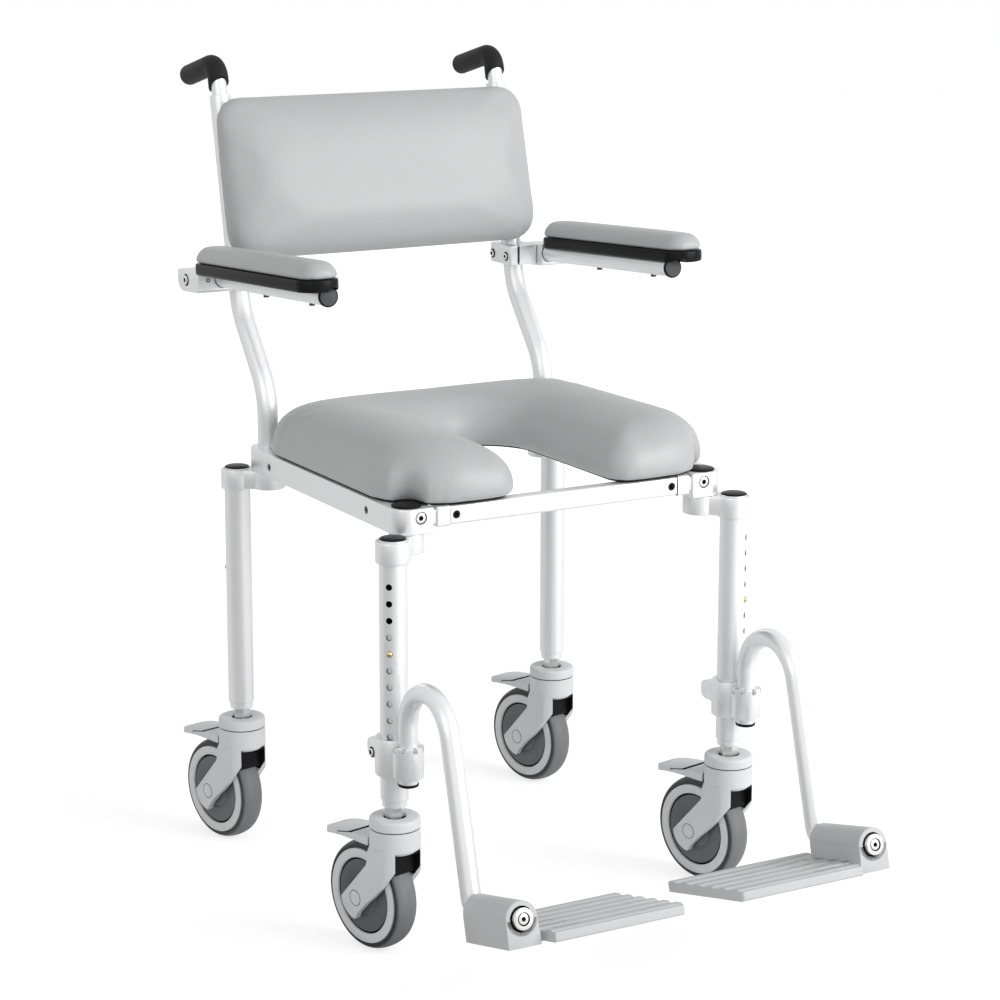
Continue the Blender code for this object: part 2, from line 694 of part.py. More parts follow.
def side_rail_solid(side):
    """One rail with a corner block at each end; the blocks are bored for the posts and the bar tenons."""
    low = FRAME_TOP - RAIL_HEIGHT
    outer = CORNER_X + CORNER_RADIUS
    inner = outer - RAIL_WIDTH
    end = CORNER_Y + CORNER_RADIUS
    ear = CORNER_X - EAR_REACH
    ear_deep = end - BAR_DEPTH - EAR_WALL
    plan = rounded_outline(
        [(outer, -end), (outer, end), (ear, end), (ear, ear_deep), (inner, ear_deep - EAR_SLOPE),
         (inner, -ear_deep + EAR_SLOPE), (ear, -ear_deep), (ear, -end)],
        [CORNER_RADIUS - EDGE, CORNER_RADIUS - EDGE, 2 * EDGE, EAR_WALL, EAR_SLOPE, EAR_SLOPE, EAR_WALL,
         2 * EDGE])
    rail = prism(plan, low, FRAME_TOP)
    post = STUD_RADIUS + SEAT_GAP
    tube = BACK_RADIUS + SEAT_GAP
    front = turned([(post, low - PAST), (post, FRAME_TOP + PAST)], TUBE_SIDES)
    rear = turned([(tube, low - PAST), (tube, FRAME_TOP + PAST)], TUBE_SIDES)
    rail = cut(rail, moved(front, Matrix.Translation((CORNER_X, -CORNER_Y, 0))),
               moved(rear, Matrix.Translation((CORNER_X, CORNER_Y, 0))))
    middle = FRAME_TOP - BAR_HEIGHT / 2
    fit = TENON_RADIUS + SEAT_GAP
    for bar_y in (-1, 1):
        socket = turned([(fit, -PAST), (fit, TENON_LENGTH + SEAT_GAP)], PIN_SIDES)
        rail = cut(rail, along_x(socket, (ear, bar_y * (end - BAR_DEPTH / 2), middle)))
    return mirrored(rail, side)


def cross_bar_solid(facing):
    """Front or rear bar: a rounded bar between sleeved ends, with a tenon into each corner block."""
    half = CORNER_X - EAR_REACH - BAR_GAP
    face = CORNER_Y + CORNER_RADIUS
    middle_y = facing * (face - BAR_DEPTH / 2)
    middle_z = FRAME_TOP - BAR_HEIGHT / 2

    def section(shrink):
        deep = BAR_DEPTH / 2 - shrink
        tall = BAR_HEIGHT / 2 - shrink
        corners = [(-deep, -tall), (deep, -tall), (deep, tall), (-deep, tall)]
        return rounded_outline(corners, [BAR_EDGE] * 4, steps=3)

    stations = [(-half, 0.0), (-half + SLEEVE_LENGTH, 0.0), (-half + SLEEVE_LENGTH, SLEEVE_STEP),
                (half - SLEEVE_LENGTH, SLEEVE_STEP), (half - SLEEVE_LENGTH, 0.0), (half, 0.0)]
    rings = [[(x, middle_y + point.x, middle_z + point.y) for point in section(shrink)]
             for x, shrink in stations]
    reach = half + BAR_GAP + TENON_LENGTH
    tenon = turned([(TENON_RADIUS, -reach), (TENON_RADIUS, reach)], PIN_SIDES)
    return joined(loft(rings), along_x(tenon, (0, middle_y, middle_z)))


# Seat and back

def horseshoe(inset):
    """Open-fronted seat outline, drawn inwards by inset."""
    corners = [
        (-SEAT_HALF_WIDTH, -SEAT_FRONT), (-SLOT_HALF_WIDTH, -SEAT_FRONT), (-SLOT_HALF_WIDTH, SLOT_BACK),
        (SLOT_HALF_WIDTH, SLOT_BACK), (SLOT_HALF_WIDTH, -SEAT_FRONT), (SEAT_HALF_WIDTH, -SEAT_FRONT),
        (SEAT_HALF_WIDTH, SEAT_REAR), (-SEAT_HALF_WIDTH, SEAT_REAR)]
    slot_end = SLOT_HALF_WIDTH - EDGE
    radii = [SEAT_FRONT_CORNER, SLOT_CORNER, slot_end, slot_end, SLOT_CORNER, SEAT_FRONT_CORNER, SEAT_REAR_CORNER,
             SEAT_REAR_CORNER]
    return rounded_outline(corners, radii, inset=inset)


def seat_board_solid():
    low = FRAME_TOP + SEAT_GAP
    return prism(horseshoe(BOARD_INSET), low, low + BOARD_THICKNESS)


def seat_cushion_solid():
    """Horseshoe cushion: sides drawn in at the board, widest half way up, crowned on top."""
    low = FRAME_TOP + 2 * SEAT_GAP + BOARD_THICKNESS
    form = soft_profile(SEAT_TUCK, SEAT_CROWN, SEAT_WAIST, SEAT_FULLNESS)
    rings = [[(point.x, point.y, low + SEAT_THICKNESS * rise) for point in horseshoe(inset)]
             for inset, rise in form]
    return loft(rings)


def back_path():
    foot = FRAME_TOP - RAIL_HEIGHT - BACK_SEAT_DEPTH
    return rounded_path([(CORNER_Y, foot), (CORNER_Y, BACK_BEND_LOW), BACK_BEND_HIGH, BACK_TOP],
                        [BACK_BEND_RADIUS, BACK_BEND_RADIUS])


def handle_path():
    lead = (Vector(BACK_TOP) - Vector(BACK_BEND_HIGH)).normalized()
    start = Vector(BACK_TOP) - lead * 2 * JOIN
    return rounded_path([start, HANDLE_CORNER, HANDLE_END], [HANDLE_BEND_RADIUS])


def back_tube_solid():
    """Back upright: one bent tube with the thinner handle tube stepped in at its top."""
    path = back_path()
    tube = swept(path, [BACK_RADIUS] * len(path))
    handle = handle_path()
    return joined(tube, swept(handle, [HANDLE_RADIUS] * len(handle)))


def push_grip_solid():
    """Moulded grip over the handle tube, closed and rounded at its end."""
    handle = handle_path()
    lead = (handle[1] - handle[0]).normalized()
    start = handle[0] + lead * FACE_GAP
    tail = (handle[-1] - handle[-2]).normalized()
    end = handle[-1] + tail * GRIP_END
    path = [start] + handle[1:-1] + [end - tail * GRIP_END, end - tail * GRIP_END / 4, end]
    radii = [GRIP_RADIUS] * (len(path) - 2) + [GRIP_RADIUS * 0.88, GRIP_RADIUS * 0.6]
    bored = [handle[0] - lead * PAST] + handle[1:-1] + [handle[-1] + tail * SEAT_GAP]
    bore = swept(bored, [HANDLE_RADIUS + SEAT_GAP] * len(bored))
    rim = handle[0] + lead * GRIP_RIM_RISE
    reach = 4 * GRIP_RADIUS
    below = box((-reach, -reach, -reach), (reach, reach, 0.0))
    slant = Matrix.Translation((0.0, rim.x, rim.y)) @ Matrix.Rotation(-GRIP_RIM_SLANT, 4, "X")
    return cut(swept(path, radii), bore, moved(below, slant))


def back_cushion_solid():
    """Back cushion against both uprights: flat behind, soft edges, crowned in front, thicker below."""
    wide = CUSHION_HALF_WIDTH
    corners = [(-wide, CUSHION_LOW), (wide, CUSHION_LOW), (wide, CUSHION_HIGH), (-wide, CUSHION_HIGH)]
    behind = BACK_RADIUS + SEAT_GAP
    form = soft_profile(CUSHION_TUCK, CUSHION_CROWN, CUSHION_WAIST, CUSHION_FULLNESS)
    base = Vector((0.0, *BACK_BEND_HIGH))
    along = (Vector((0.0, *BACK_TOP)) - base).normalized()
    forward = Vector((0.0, -along.z, along.y))
    rings = []
    for inset, rise in form:
        outline = rounded_outline(corners, [CUSHION_CORNER] * 4, steps=8, inset=inset)
        ring = []
        for point in outline:
            lower = (CUSHION_LOW + CUSHION_HIGH - 2 * point.y) / (CUSHION_HIGH - CUSHION_LOW)
            depth = behind + CUSHION_THICKNESS * rise * (1 + CUSHION_WEDGE * lower)
            ring.append(base + forward * depth + Vector((point.x, 0, 0)) + along * point.y)
        rings.append(ring)
    return loft(rings)


# Armrests

def tube_y_at(height):
    low = Vector(BACK_BEND_HIGH)
    high = Vector(BACK_TOP)
    return low.x + (high.x - low.x) * (height - low.y) / (high.y - low.y)


def armrest_clamp_solid(side):
    """Clamp block on the back upright with the hinge pin standing out of its outer face."""
    centre_y = tube_y_at(CLAMP_Z)
    low = (CORNER_X - CLAMP_INBOARD, centre_y - CLAMP_HALF_DEPTH)
    high = (CORNER_X + CLAMP_OUTBOARD, centre_y + CLAMP_HALF_DEPTH)
    plan = rounded_outline([low, (high[0], low[1]), high, (low[0], high[1])], [CLAMP_EDGE] * 4, steps=2)
    block = prism(plan, CLAMP_Z - CLAMP_HALF_HEIGHT, CLAMP_Z + CLAMP_HALF_HEIGHT)
    base = Vector((CORNER_X, *BACK_BEND_HIGH))
    along = Vector((CORNER_X, *BACK_TOP)) - base
    bore = turned([(BACK_RADIUS + SEAT_GAP, -PAST), (BACK_RADIUS + SEAT_GAP, along.length)], TUBE_SIDES)
    lean = Matrix.Rotation(-math.atan2(along.y, along.z), 4, "X")
    block = cut(block, moved(bore, Matrix.Translation(base) @ lean))
    pin_end = high[0] + FACE_GAP + ARM_PIN_LENGTH
    pin = turned([(ARM_PIN_RADIUS, high[0] - JOIN), (ARM_PIN_RADIUS, pin_end)], TUBE_SIDES)
    return mirrored(joined(block, along_x(pin, (0, ARM_PIVOT_Y, ARM_PIVOT_Z))), side)


def tube_lay():
    """Lay a solid made along Z along the arm tube; what was below the origin reaches forward."""
    return Matrix.Translation((ARM_X, 0, -FACE_GAP / 2)) @ Matrix.Rotation(-math.pi / 2, 4, "X")


def armrest_arm_solid(side):
    """Hinge block and arm tube about the hinge pin, drawn level: forward is -Y."""
    inner = CORNER_X + CLAMP_OUTBOARD + FACE_GAP
    top = ARM_TUBE_RADIUS
    outline = rounded_outline(
        [(-ARM_BLOCK_FRONT, -ARM_BLOCK_DEPTH), (ARM_BLOCK_REAR, -ARM_BLOCK_DEPTH), (ARM_BLOCK_REAR, top),
         (-ARM_BLOCK_FRONT, top)], [4 * EDGE, ARM_BLOCK_ROUND, 6 * EDGE, 2 * EDGE])
    block = side_profile(outline, inner, inner + ARM_BLOCK_WIDTH)
    tube = turned([(ARM_TUBE_RADIUS - EDGE, -ARM_REACH), (ARM_TUBE_RADIUS, -ARM_REACH + EDGE),
                   (ARM_TUBE_RADIUS, -ARM_BLOCK_FRONT + JOIN)], TUBE_SIDES)
    fit = ARM_PIN_RADIUS + SEAT_GAP
    bore = turned([(fit, inner - PAST), (fit, inner + ARM_PIN_LENGTH + SEAT_GAP)], TUBE_SIDES)
    return mirrored(cut(joined(block, moved(tube, tube_lay())), along_x(bore)), side)


def pad_outline(inset, steps=4):
    centre = ARM_X + PAD_OFFSET
    corners = [(centre - PAD_HALF_WIDTH, -PAD_FRONT), (centre + PAD_HALF_WIDTH, -PAD_FRONT),
               (centre + PAD_HALF_WIDTH, -PAD_REAR), (centre - PAD_HALF_WIDTH, -PAD_REAR)]
    return rounded_outline(corners, [PAD_END_RADIUS] * 4, steps=steps, inset=inset)


def armrest_base_solid(side):
    """Moulded base under the pad: it saddles the arm tube and steps over the hinge block."""
    low = ARM_TUBE_RADIUS - BASE_NEST
    form = [(3 * EDGE, 0.0), (0.0, 0.25), (0.0, 0.80), (EDGE, 1.0)]
    rings = [[(point.x, point.y, low + BASE_THICKNESS * rise) for point in pad_outline(inset)]
             for inset, rise in form]
    fit = ARM_TUBE_RADIUS + SEAT_GAP
    groove = turned([(fit, -2 * ARM_REACH), (fit, 0.0)], TUBE_SIDES)
    inner = CORNER_X + CLAMP_OUTBOARD + FACE_GAP
    step = box((inner - 2 * PAD_HALF_WIDTH, -ARM_BLOCK_FRONT - SEAT_GAP, -ARM_TUBE_RADIUS),
               (inner + ARM_BLOCK_WIDTH + SEAT_GAP, 0.0, fit))
    return mirrored(cut(loft(rings), moved(groove, tube_lay()), step), side)


def armrest_pad_solid(side):
    """Arm pad on its base: soft top edges and a low crown."""
    low = ARM_TUBE_RADIUS - BASE_NEST + BASE_THICKNESS + SEAT_GAP
    form = soft_profile(PAD_TUCK, PAD_CROWN, PAD_WAIST, PAD_FULLNESS, steps=4)
    rings = [[(point.x, point.y, low + PAD_THICKNESS * rise) for point in pad_outline(inset, steps=5)]
             for inset, rise in form]
    return mirrored(loft(rings), side)


# Footrests

def footrest_clamp_solid(side):
    """Clamp round the front leg with a notched socket in front of it; drawn about the leg axis."""
    wall = LEG_RADIUS + SEAT_GAP + FOOT_CLAMP_WALL
    collar = turned([(wall, FOOT_CLAMP_LOW), (wall, FOOT_CLAMP_TOP)], TUBE_SIDES)
    middle = (FOOT_CLAMP_LOW + FOOT_CLAMP_TOP) / 2
    ear = rounded_outline(
        [(FOOT_CLAMP_WALL, middle - FOOT_EAR_HALF_HEIGHT), (FOOT_EAR_BACK, middle - FOOT_EAR_HALF_HEIGHT),
         (FOOT_EAR_BACK, middle + FOOT_EAR_HALF_HEIGHT), (FOOT_CLAMP_WALL, middle + FOOT_EAR_HALF_HEIGHT)],
        [EDGE, FOOT_EAR_ROUND, FOOT_EAR_ROUND, EDGE], steps=4)
    web = box((-WEB_HALF_WIDTH, -SOCKET_FORWARD, SOCKET_LOW + 2 * EDGE),
              (WEB_HALF_WIDTH, 0, SOCKET_TOP - NOTCH_DEPTH - 2 * EDGE))
    socket = turned([(SOCKET_RADIUS - EDGE, SOCKET_LOW), (SOCKET_RADIUS, SOCKET_LOW + EDGE),
                     (SOCKET_RADIUS, SOCKET_TOP)], TUBE_SIDES)
    seat = Matrix.Translation((0, -SOCKET_FORWARD, 0))
    body = joined(collar, side_profile(ear, -FOOT_EAR_HALF, FOOT_EAR_HALF), web, moved(socket, seat))
    low = FOOT_CLAMP_LOW - PAST
    high = FOOT_CLAMP_TOP + PAST
    leg_bore = turned([(LEG_RADIUS + SEAT_GAP, low), (LEG_RADIUS + SEAT_GAP, high)], TUBE_SIDES)
    tube_bore = turned([(FOOT_TUBE_RADIUS + SEAT_GAP, low), (FOOT_TUBE_RADIUS + SEAT_GAP, high)], TUBE_SIDES)
    relief_half = HOLE_RADIUS + RELIEF_SPARE
    relief_out = LEG_RADIUS + BUTTON_PROUD + RELIEF_SPARE
    relief = box((LEG_RADIUS / 2, -relief_half, low), (relief_out, relief_half, high))
    relief_turn = Matrix.Rotation(outward(1, -1), 4, "Z")
    body = cut(body, leg_bore, moved(tube_bore, seat), moved(relief, relief_turn))
    for step in range(-2, 3):
        notch = box((-NOTCH_WIDTH / 2, -SOCKET_RADIUS * 1.15, SOCKET_TOP - NOTCH_DEPTH),
                    (NOTCH_WIDTH / 2, -FOOT_TUBE_RADIUS * 0.8, SOCKET_TOP + PAST))
        body = cut(body, moved(notch, seat @ Matrix.Rotation(NOTCH_SPREAD * step, 4, "Z")))
    return mirrored(body, side)


def neck_path():
    """Gooseneck seen from the side, about the socket axis: up, over, down to the heel and forward."""
    socket_y = -LEG_Y - SOCKET_FORWARD
    heel = Vector(NECK_HEEL)
    crest = Vector((socket_y - NECK_RADIUS, NECK_TOP - NECK_RADIUS))
    to_heel = heel - crest
    swing = math.atan2(to_heel.y, to_heel.x) - math.acos(NECK_RADIUS / to_heel.length)
    bend = arc(crest, NECK_RADIUS, 0.0, swing + 2 * math.pi if swing < 0 else swing, 2 * BEND_STEPS)
    forward = Vector((-math.cos(PLATE_TILT), math.sin(PLATE_TILT)))
    front = heel + forward * (BARREL_FRONT - CAP_RECESS)
    run = rounded_path([bend[-1], NECK_HEEL, front], [HEEL_RADIUS])
    return [Vector((socket_y, FOOT_TUBE_LOW))] + bend + run[1:]


def footrest_tube_solid():
    path = [point + Vector((LEG_Y + SOCKET_FORWARD, 0)) for point in neck_path()]
    return swept(path, [FOOT_TUBE_RADIUS] * len(path))


def plate_section():
    """Tread seen along the ridges: forward along X, up along Y, about the barrel axis at the heel."""
    top = -PLATE_TOP_DROP
    length = PLATE_FRONT_EDGE + PLATE_REAR_EDGE
    pitch = length / RIDGE_COUNT
    points = []
    for index in range(RIDGE_COUNT):
        start = -PLATE_REAR_EDGE + pitch * index
        points.append(Vector((start + pitch * (1 - RIDGE_SHARE) * 0.5, top - RIDGE_HEIGHT)))
        points.append(Vector((start + pitch * (1 - RIDGE_SHARE) * 0.8, top)))
        points.append(Vector((start + pitch * (1 - (1 - RIDGE_SHARE) * 0.8), top)))
        points.append(Vector((start + pitch * (1 - (1 - RIDGE_SHARE) * 0.5), top - RIDGE_HEIGHT)))
    low = top - PLATE_THICKNESS
    bevel = 2 * EDGE
    ends = [Vector((PLATE_FRONT_EDGE, top - RIDGE_HEIGHT)), Vector((PLATE_FRONT_EDGE, low + bevel)),
            Vector((PLATE_FRONT_EDGE - bevel, low)), Vector((-PLATE_REAR_EDGE + bevel, low)),
            Vector((-PLATE_REAR_EDGE, low + bevel)), Vector((-PLATE_REAR_EDGE, top - RIDGE_HEIGHT))]
    return points + ends


def footplate_solid(side):
    """Hinge barrel with its body and the ridged tread, drawn level about the barrel axis.

    The tread reaches towards -X, forward is -Y, and the origin is at the heel of the tube.
    """
    section = [Vector((-point.x, point.y)) for point in plate_section()]
    tread = side_profile(section, -PLATE_REACH, -PLATE_UNDER_BARREL)
    body = box((-BODY_INNER, -BARREL_FRONT, -BODY_BOTTOM), (BARREL_RADIUS, -BARREL_REAR, 0.0))
    above_tread = box((-2 * BODY_INNER, -BARREL_FRONT - PAST, -PLATE_TOP_DROP), (-BARREL_RADIUS, PAST, PAST))
    body = cut(body, above_tread)
    forward = Matrix.Rotation(math.pi / 2, 4, "X")
    barrel = moved(turned([(BARREL_RADIUS, BARREL_REAR), (BARREL_RADIUS, BARREL_FRONT)], TUBE_SIDES), forward)
    fit = FOOT_TUBE_RADIUS + SEAT_GAP
    past_front = BARREL_FRONT + PAST
    bore = moved(turned([(fit, 0.0), (fit, past_front)], TUBE_SIDES), forward)
    seat = BARREL_FRONT - CAP_RECESS
    recess = moved(turned([(CAP_RECESS_RADIUS, seat), (CAP_RECESS_RADIUS, past_front)], TUBE_SIDES), forward)
    plate = cut(joined(tread, body, barrel), bore, recess)
    pitch = (PLATE_FRONT_EDGE + PLATE_REAR_EDGE) / RIDGE_COUNT
    for index in range(SLOT_COUNT):
        middle = -(-PLATE_REAR_EDGE + pitch * (index + 1))
        drain = box((-DRAIN_FROM_AXIS - DRAIN_LENGTH, middle - DRAIN_WIDTH / 2, -2 * BODY_BOTTOM),
                    (-DRAIN_FROM_AXIS, middle + DRAIN_WIDTH / 2, 0.0))
        plate = cut(plate, drain)
    return mirrored(plate, side)


def end_cap_solid():
    front = BARREL_FRONT - CAP_RECESS + SEAT_GAP
    cap = turned([(CAP_RADIUS, front), (CAP_RADIUS, front + CAP_THICKNESS - EDGE),
                  (CAP_RADIUS - EDGE, front + CAP_THICKNESS)], TUBE_SIDES)
    return moved(cap, Matrix.Rotation(math.pi / 2, 4, "X"))


# The chair

def build_legs(chair, look):
    for corner, (side_x, side_y) in LEG_CORNERS.items():
        angle = outward(side_x, side_y)
        foot = (side_x * LEG_X, side_y * LEG_Y, 0)
        add_piece("leg_bracket_" + corner, leg_bracket_solid(side_x, side_y), look["satin_aluminium"], chair,
                  (side_x * CORNER_X, side_y * CORNER_Y, 0))
        add_piece("leg_tube_" + corner, leg_tube_solid(angle), look["satin_aluminium"], chair, foot)
        lower = add_piece("leg_extension_" + corner, leg_extension_solid(angle), look["satin_aluminium"],
                          chair, foot)
        add_piece("height_button_" + corner, height_button_solid(angle), look["brass"], lower,
                  (0, 0, HOLE_TOP - HOLE_PITCH * LOCK_HOLE))
        fork = add_piece("caster_fork_" + corner, caster_fork_solid(), look["grey_plastic"], lower,
                         (0, 0, 0), (0, 0, CASTER_YAW))
        add_piece("brake_pedal_" + corner, brake_pedal_solid(), look["grey_plastic"], fork,
                  (0, PEDAL_PIVOT_BACK, PEDAL_PIVOT_HEIGHT))
        axle = add_anchor("axle_" + corner, (0, CASTER_TRAIL, WHEEL_RADIUS), fork)
        add_piece("wheel_hub_" + corner, wheel_hub_solid(), look["hub_grey"], axle)
        add_piece("wheel_tyre_" + corner, wheel_tyre_solid(), look["tyre_grey"], axle)


def build_seat_and_back(chair, look):
    for hand, side in SIDES.items():
        add_piece("side_rail_" + hand, side_rail_solid(side), look["satin_aluminium"], chair)
        foot = (side * CORNER_X, 0, 0)
        add_piece("back_tube_" + hand, back_tube_solid(), look["satin_aluminium"], chair, foot)
        add_piece("push_grip_" + hand, push_grip_solid(), look["grip_black"], chair, foot)
    add_piece("front_bar", cross_bar_solid(-1), look["satin_aluminium"], chair)
    add_piece("rear_bar", cross_bar_solid(1), look["satin_aluminium"], chair)
    add_piece("seat_board", seat_board_solid(), look["black_plastic"], chair)
    add_piece("seat_cushion", seat_cushion_solid(), look["grey_vinyl"], chair)
    add_piece("back_cushion", back_cushion_solid(), look["grey_vinyl"], chair)


def build_armrests(chair, look):
    for hand, side in SIDES.items():
        add_piece("armrest_clamp_" + hand, armrest_clamp_solid(side), look["satin_aluminium"], chair)
        hinge = add_anchor("armrest_hinge_" + hand, (0, ARM_PIVOT_Y, ARM_PIVOT_Z), chair)
        hinge.rotation_euler = (-ARM_TILT, 0, 0)
        add_piece("armrest_arm_" + hand, armrest_arm_solid(side), look["satin_aluminium"], hinge)
        add_piece("armrest_base_" + hand, armrest_base_solid(side), look["black_plastic"], hinge)
        add_piece("armrest_pad_" + hand, armrest_pad_solid(side), look["grey_vinyl"], hinge)


def build_footrests(chair, look):
    for hand, side in SIDES.items():
        add_piece("footrest_clamp_" + hand, footrest_clamp_solid(side), look["satin_aluminium"], chair,
                  (side * LEG_X, -LEG_Y, 0))
        swing = add_anchor("footrest_swing_" + hand, (side * LEG_X, -LEG_Y - SOCKET_FORWARD, 0), chair)
        add_piece("footrest_tube_" + hand, footrest_tube_solid(), look["satin_aluminium"], swing)
        heel = add_anchor("footplate_hinge_" + hand,
                          (0, NECK_HEEL[0] + LEG_Y + SOCKET_FORWARD, NECK_HEEL[1]), swing)
        heel.rotation_euler = (-PLATE_TILT, 0, 0)
        add_piece("footplate_" + hand, footplate_solid(side), look["plate_grey"], heel)
        add_piece("footplate_end_cap_" + hand, end_cap_solid(), look["bright_steel"], heel)


def build_chair():
    clear_scene()
    look = make_materials()
    chair = add_anchor("chair", (0, LEGS_BEHIND_ORIGIN, 0))
    build_legs(chair, look)
    build_seat_and_back(chair, look)
    build_armrests(chair, look)
    build_footrests(chair, look)


build_chair()
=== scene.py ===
"""Looks of a mobile shower commode chair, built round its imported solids.

Metres, +Z up. The sitter faces -Y and the sitter's left hand is at +X. Lengths along Y are from the
middle of the four legs; ROOT carries them to the model's origin.
"""

import json
import math

import bmesh
import bpy
import numpy as np
from mathutils import Matrix, Vector

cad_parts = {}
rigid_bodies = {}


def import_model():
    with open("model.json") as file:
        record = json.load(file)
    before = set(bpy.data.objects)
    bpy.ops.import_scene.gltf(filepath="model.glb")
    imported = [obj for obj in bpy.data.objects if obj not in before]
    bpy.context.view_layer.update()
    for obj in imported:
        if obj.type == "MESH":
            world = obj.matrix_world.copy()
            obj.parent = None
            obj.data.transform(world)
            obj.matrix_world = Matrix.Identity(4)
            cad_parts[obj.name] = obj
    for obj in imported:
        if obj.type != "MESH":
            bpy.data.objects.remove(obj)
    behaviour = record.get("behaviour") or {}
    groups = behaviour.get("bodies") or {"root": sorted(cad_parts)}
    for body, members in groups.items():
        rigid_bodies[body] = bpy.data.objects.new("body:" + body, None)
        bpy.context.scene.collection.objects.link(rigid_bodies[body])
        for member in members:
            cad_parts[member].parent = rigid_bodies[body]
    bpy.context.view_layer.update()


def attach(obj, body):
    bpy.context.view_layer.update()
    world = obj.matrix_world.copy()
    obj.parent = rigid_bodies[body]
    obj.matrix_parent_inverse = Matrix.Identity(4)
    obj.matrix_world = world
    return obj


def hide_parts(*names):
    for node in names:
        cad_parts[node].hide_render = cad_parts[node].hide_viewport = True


for leftover in list(bpy.data.objects):
    bpy.data.objects.remove(leftover)
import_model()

# Where things are
ROOT = Matrix.Translation((0, 0.05368, 0))
CORNERS = {"front_left": (1, -1), "front_right": (-1, -1), "rear_left": (1, 1), "rear_right": (-1, 1)}
SIDES = {"left": 1, "right": -1}

# Seat frame and legs
CORNER_X, CORNER_Y = 0.1945, 0.1825
CORNER_RADIUS = 0.021
LEG_X, LEG_Y = 0.225, 0.209
FRAME_TOP = 0.5135
RAIL_HEIGHT, RAIL_WIDTH = 0.029, 0.020
RAIL_LOW = FRAME_TOP - RAIL_HEIGHT
EAR_REACH, EAR_WALL, EAR_SLOPE = 0.024, 0.004, 0.012
BAR_HEIGHT, BAR_DEPTH, BAR_GAP, BAR_EDGE = 0.0235, 0.020, 0.0045, 0.003
BAR_MIDDLE = FRAME_TOP - BAR_HEIGHT / 2
SLEEVE_LENGTH, SLEEVE_STEP, TENON_STEP = 0.016, 0.0008, 0.0028
FRONT_FACE = CORNER_Y + CORNER_RADIUS
RAIL_SCREWS = ((0.1355, 0.4980), (-0.1247, 0.4995))
CORNER_SCREW_X, CORNER_SCREW_Z = 0.1868, 0.5030
BAR_SCREW_X, BAR_SCREW_Z = 0.1420, 0.5022
GAP = 0.0003
FACE_GAP = 0.0005
BRACKET_HEIGHT, COLLAR_WALL, LINK_RISE = 0.0248, 0.0036, 0.0022
BRACKET_TOP = RAIL_LOW - GAP
LINK_HALF_WIDTH, LINK_EASE = 0.0150, 0.0012
LEG_RADIUS, LEG_WALL = 0.015875, 0.0015
LEG_BOTTOM, LEG_TOP = 0.1870, 0.4857
HOLE_TOP, HOLE_PITCH, HOLE_COUNT, HOLE_RADIUS = 0.4345, 0.01905, 11, 0.0037
BUTTON_LEVEL = HOLE_TOP - 4 * HOLE_PITCH
INNER_TOP, INNER_BOTTOM, INNER_WALL = 0.382, 0.1785, 0.0015
STEM_FLATS = 0.019
BUTTON_PROUD, BUTTON_DOME = 0.0026, 0.0020

# Casters
WHEEL_RADIUS, WHEEL_WIDTH = 0.0635, 0.0326
HUB_RADIUS, DISC_RADIUS = 0.0550, 0.0432
CASTER_TRAIL, CASTER_YAW, CASTER_TOP = 0.0396, math.radians(12.5), 0.1668
AXLE = (CASTER_TRAIL, WHEEL_RADIUS)
FORK_RADIUS, FORK_CAP_HEIGHT, FORK_GROOVE = 0.029, 0.0123, 0.0012
FORK_HALF_GAP, FORK_HALF_WIDTH, FORK_WINDOW_TOP = 0.0185, 0.0265, 0.1305
DISH_DEPTH, DISH_RADIUS, CROWN_RADIUS = 0.0025, 0.0125, 0.0245
FORK_FRONT_LOW, FORK_CALF, FORK_CALF_HEIGHT, FORK_END = 0.1165, 0.0182, 0.1125, 0.0256
FORK_SHIN = ((-0.0398, 0.0185), (-0.0303, 0.0086), (-0.0177, -0.0022), (-0.0031, -0.0172))
CALF_BEND = 0.018
LIP = 0.0028
STEM_BORE, STEM_BORE_DEPTH = 0.0058, 0.0203
CROWN_EDGE = ((0.0026, 0.0003), (0.0012, 0.0010), (0.0003, 0.0022), (0.0, 0.0036))
AXLE_RADIUS = 0.005
AXLE_COVER = ((0.0085, 0.0), (0.0085, 0.0003), (0.0080, 0.0007), (0.0060, 0.0009))
AXLE_RING = ((0.0088, -0.0002), (0.0093, -0.0002), (0.0093, 0.0001), (0.0088, 0.0001))
SWIVEL_SEAT, SHOE_HALF_WIDTH = 0.0042, 0.0183
PEDAL_BACK, PEDAL_HEIGHT, PEDAL_HALF_WIDTH, PEDAL_REACH = 0.021, 0.1395, 0.0215, 0.1045
PEDAL_NEAR, PEDAL_HOLLOW = 0.0230, 0.0305
TONGUE_HALF_WIDTH, TONGUE_HALF_HEIGHT = 0.011, 0.005
SEAM = ((0.0555, -0.0300), (0.0555, -0.0065), (0.0310, -0.0010), (0.0275, 0.0040), (0.0240, 0.0300))
SEAM_WIDTH, SEAM_CORE = Vector((0.0007, 0.0011)), 0.992

# Seat and back
SEAT_HALF_WIDTH, SEAT_FRONT, SEAT_REAR = 0.2215, 0.2135, 0.183
SEAT_FRONT_CORNER, SEAT_REAR_CORNER = 0.092, 0.077
SLOT_HALF_WIDTH, SLOT_BACK, SLOT_CORNER = 0.058, 0.050, 0.036
SEAT_THICKNESS, BOARD_THICKNESS, BOARD_INSET = 0.0625, 0.003, 0.008
SEAT_LOW = FRAME_TOP + 2 * GAP + BOARD_THICKNESS
SEAT_SLACK, COVER_DROP, CAP_NOTCH_RADIUS = 0.0015, 0.0018, 0.0185
SEAT_SWELL, SEAT_HELD, TUBE_ROOM = 0.0085, 0.0015, 0.0006
SLOT_END_SHARE = 0.75
CROWN_RISE, CROWN_FALL, CROWN_MIDDLE = 0.004, 0.204, -0.07
HORN_DIP, HORN_WIDTH, HORN_ROOT, HORN_RUN = 0.0075, 0.085, 0.09, 0.07
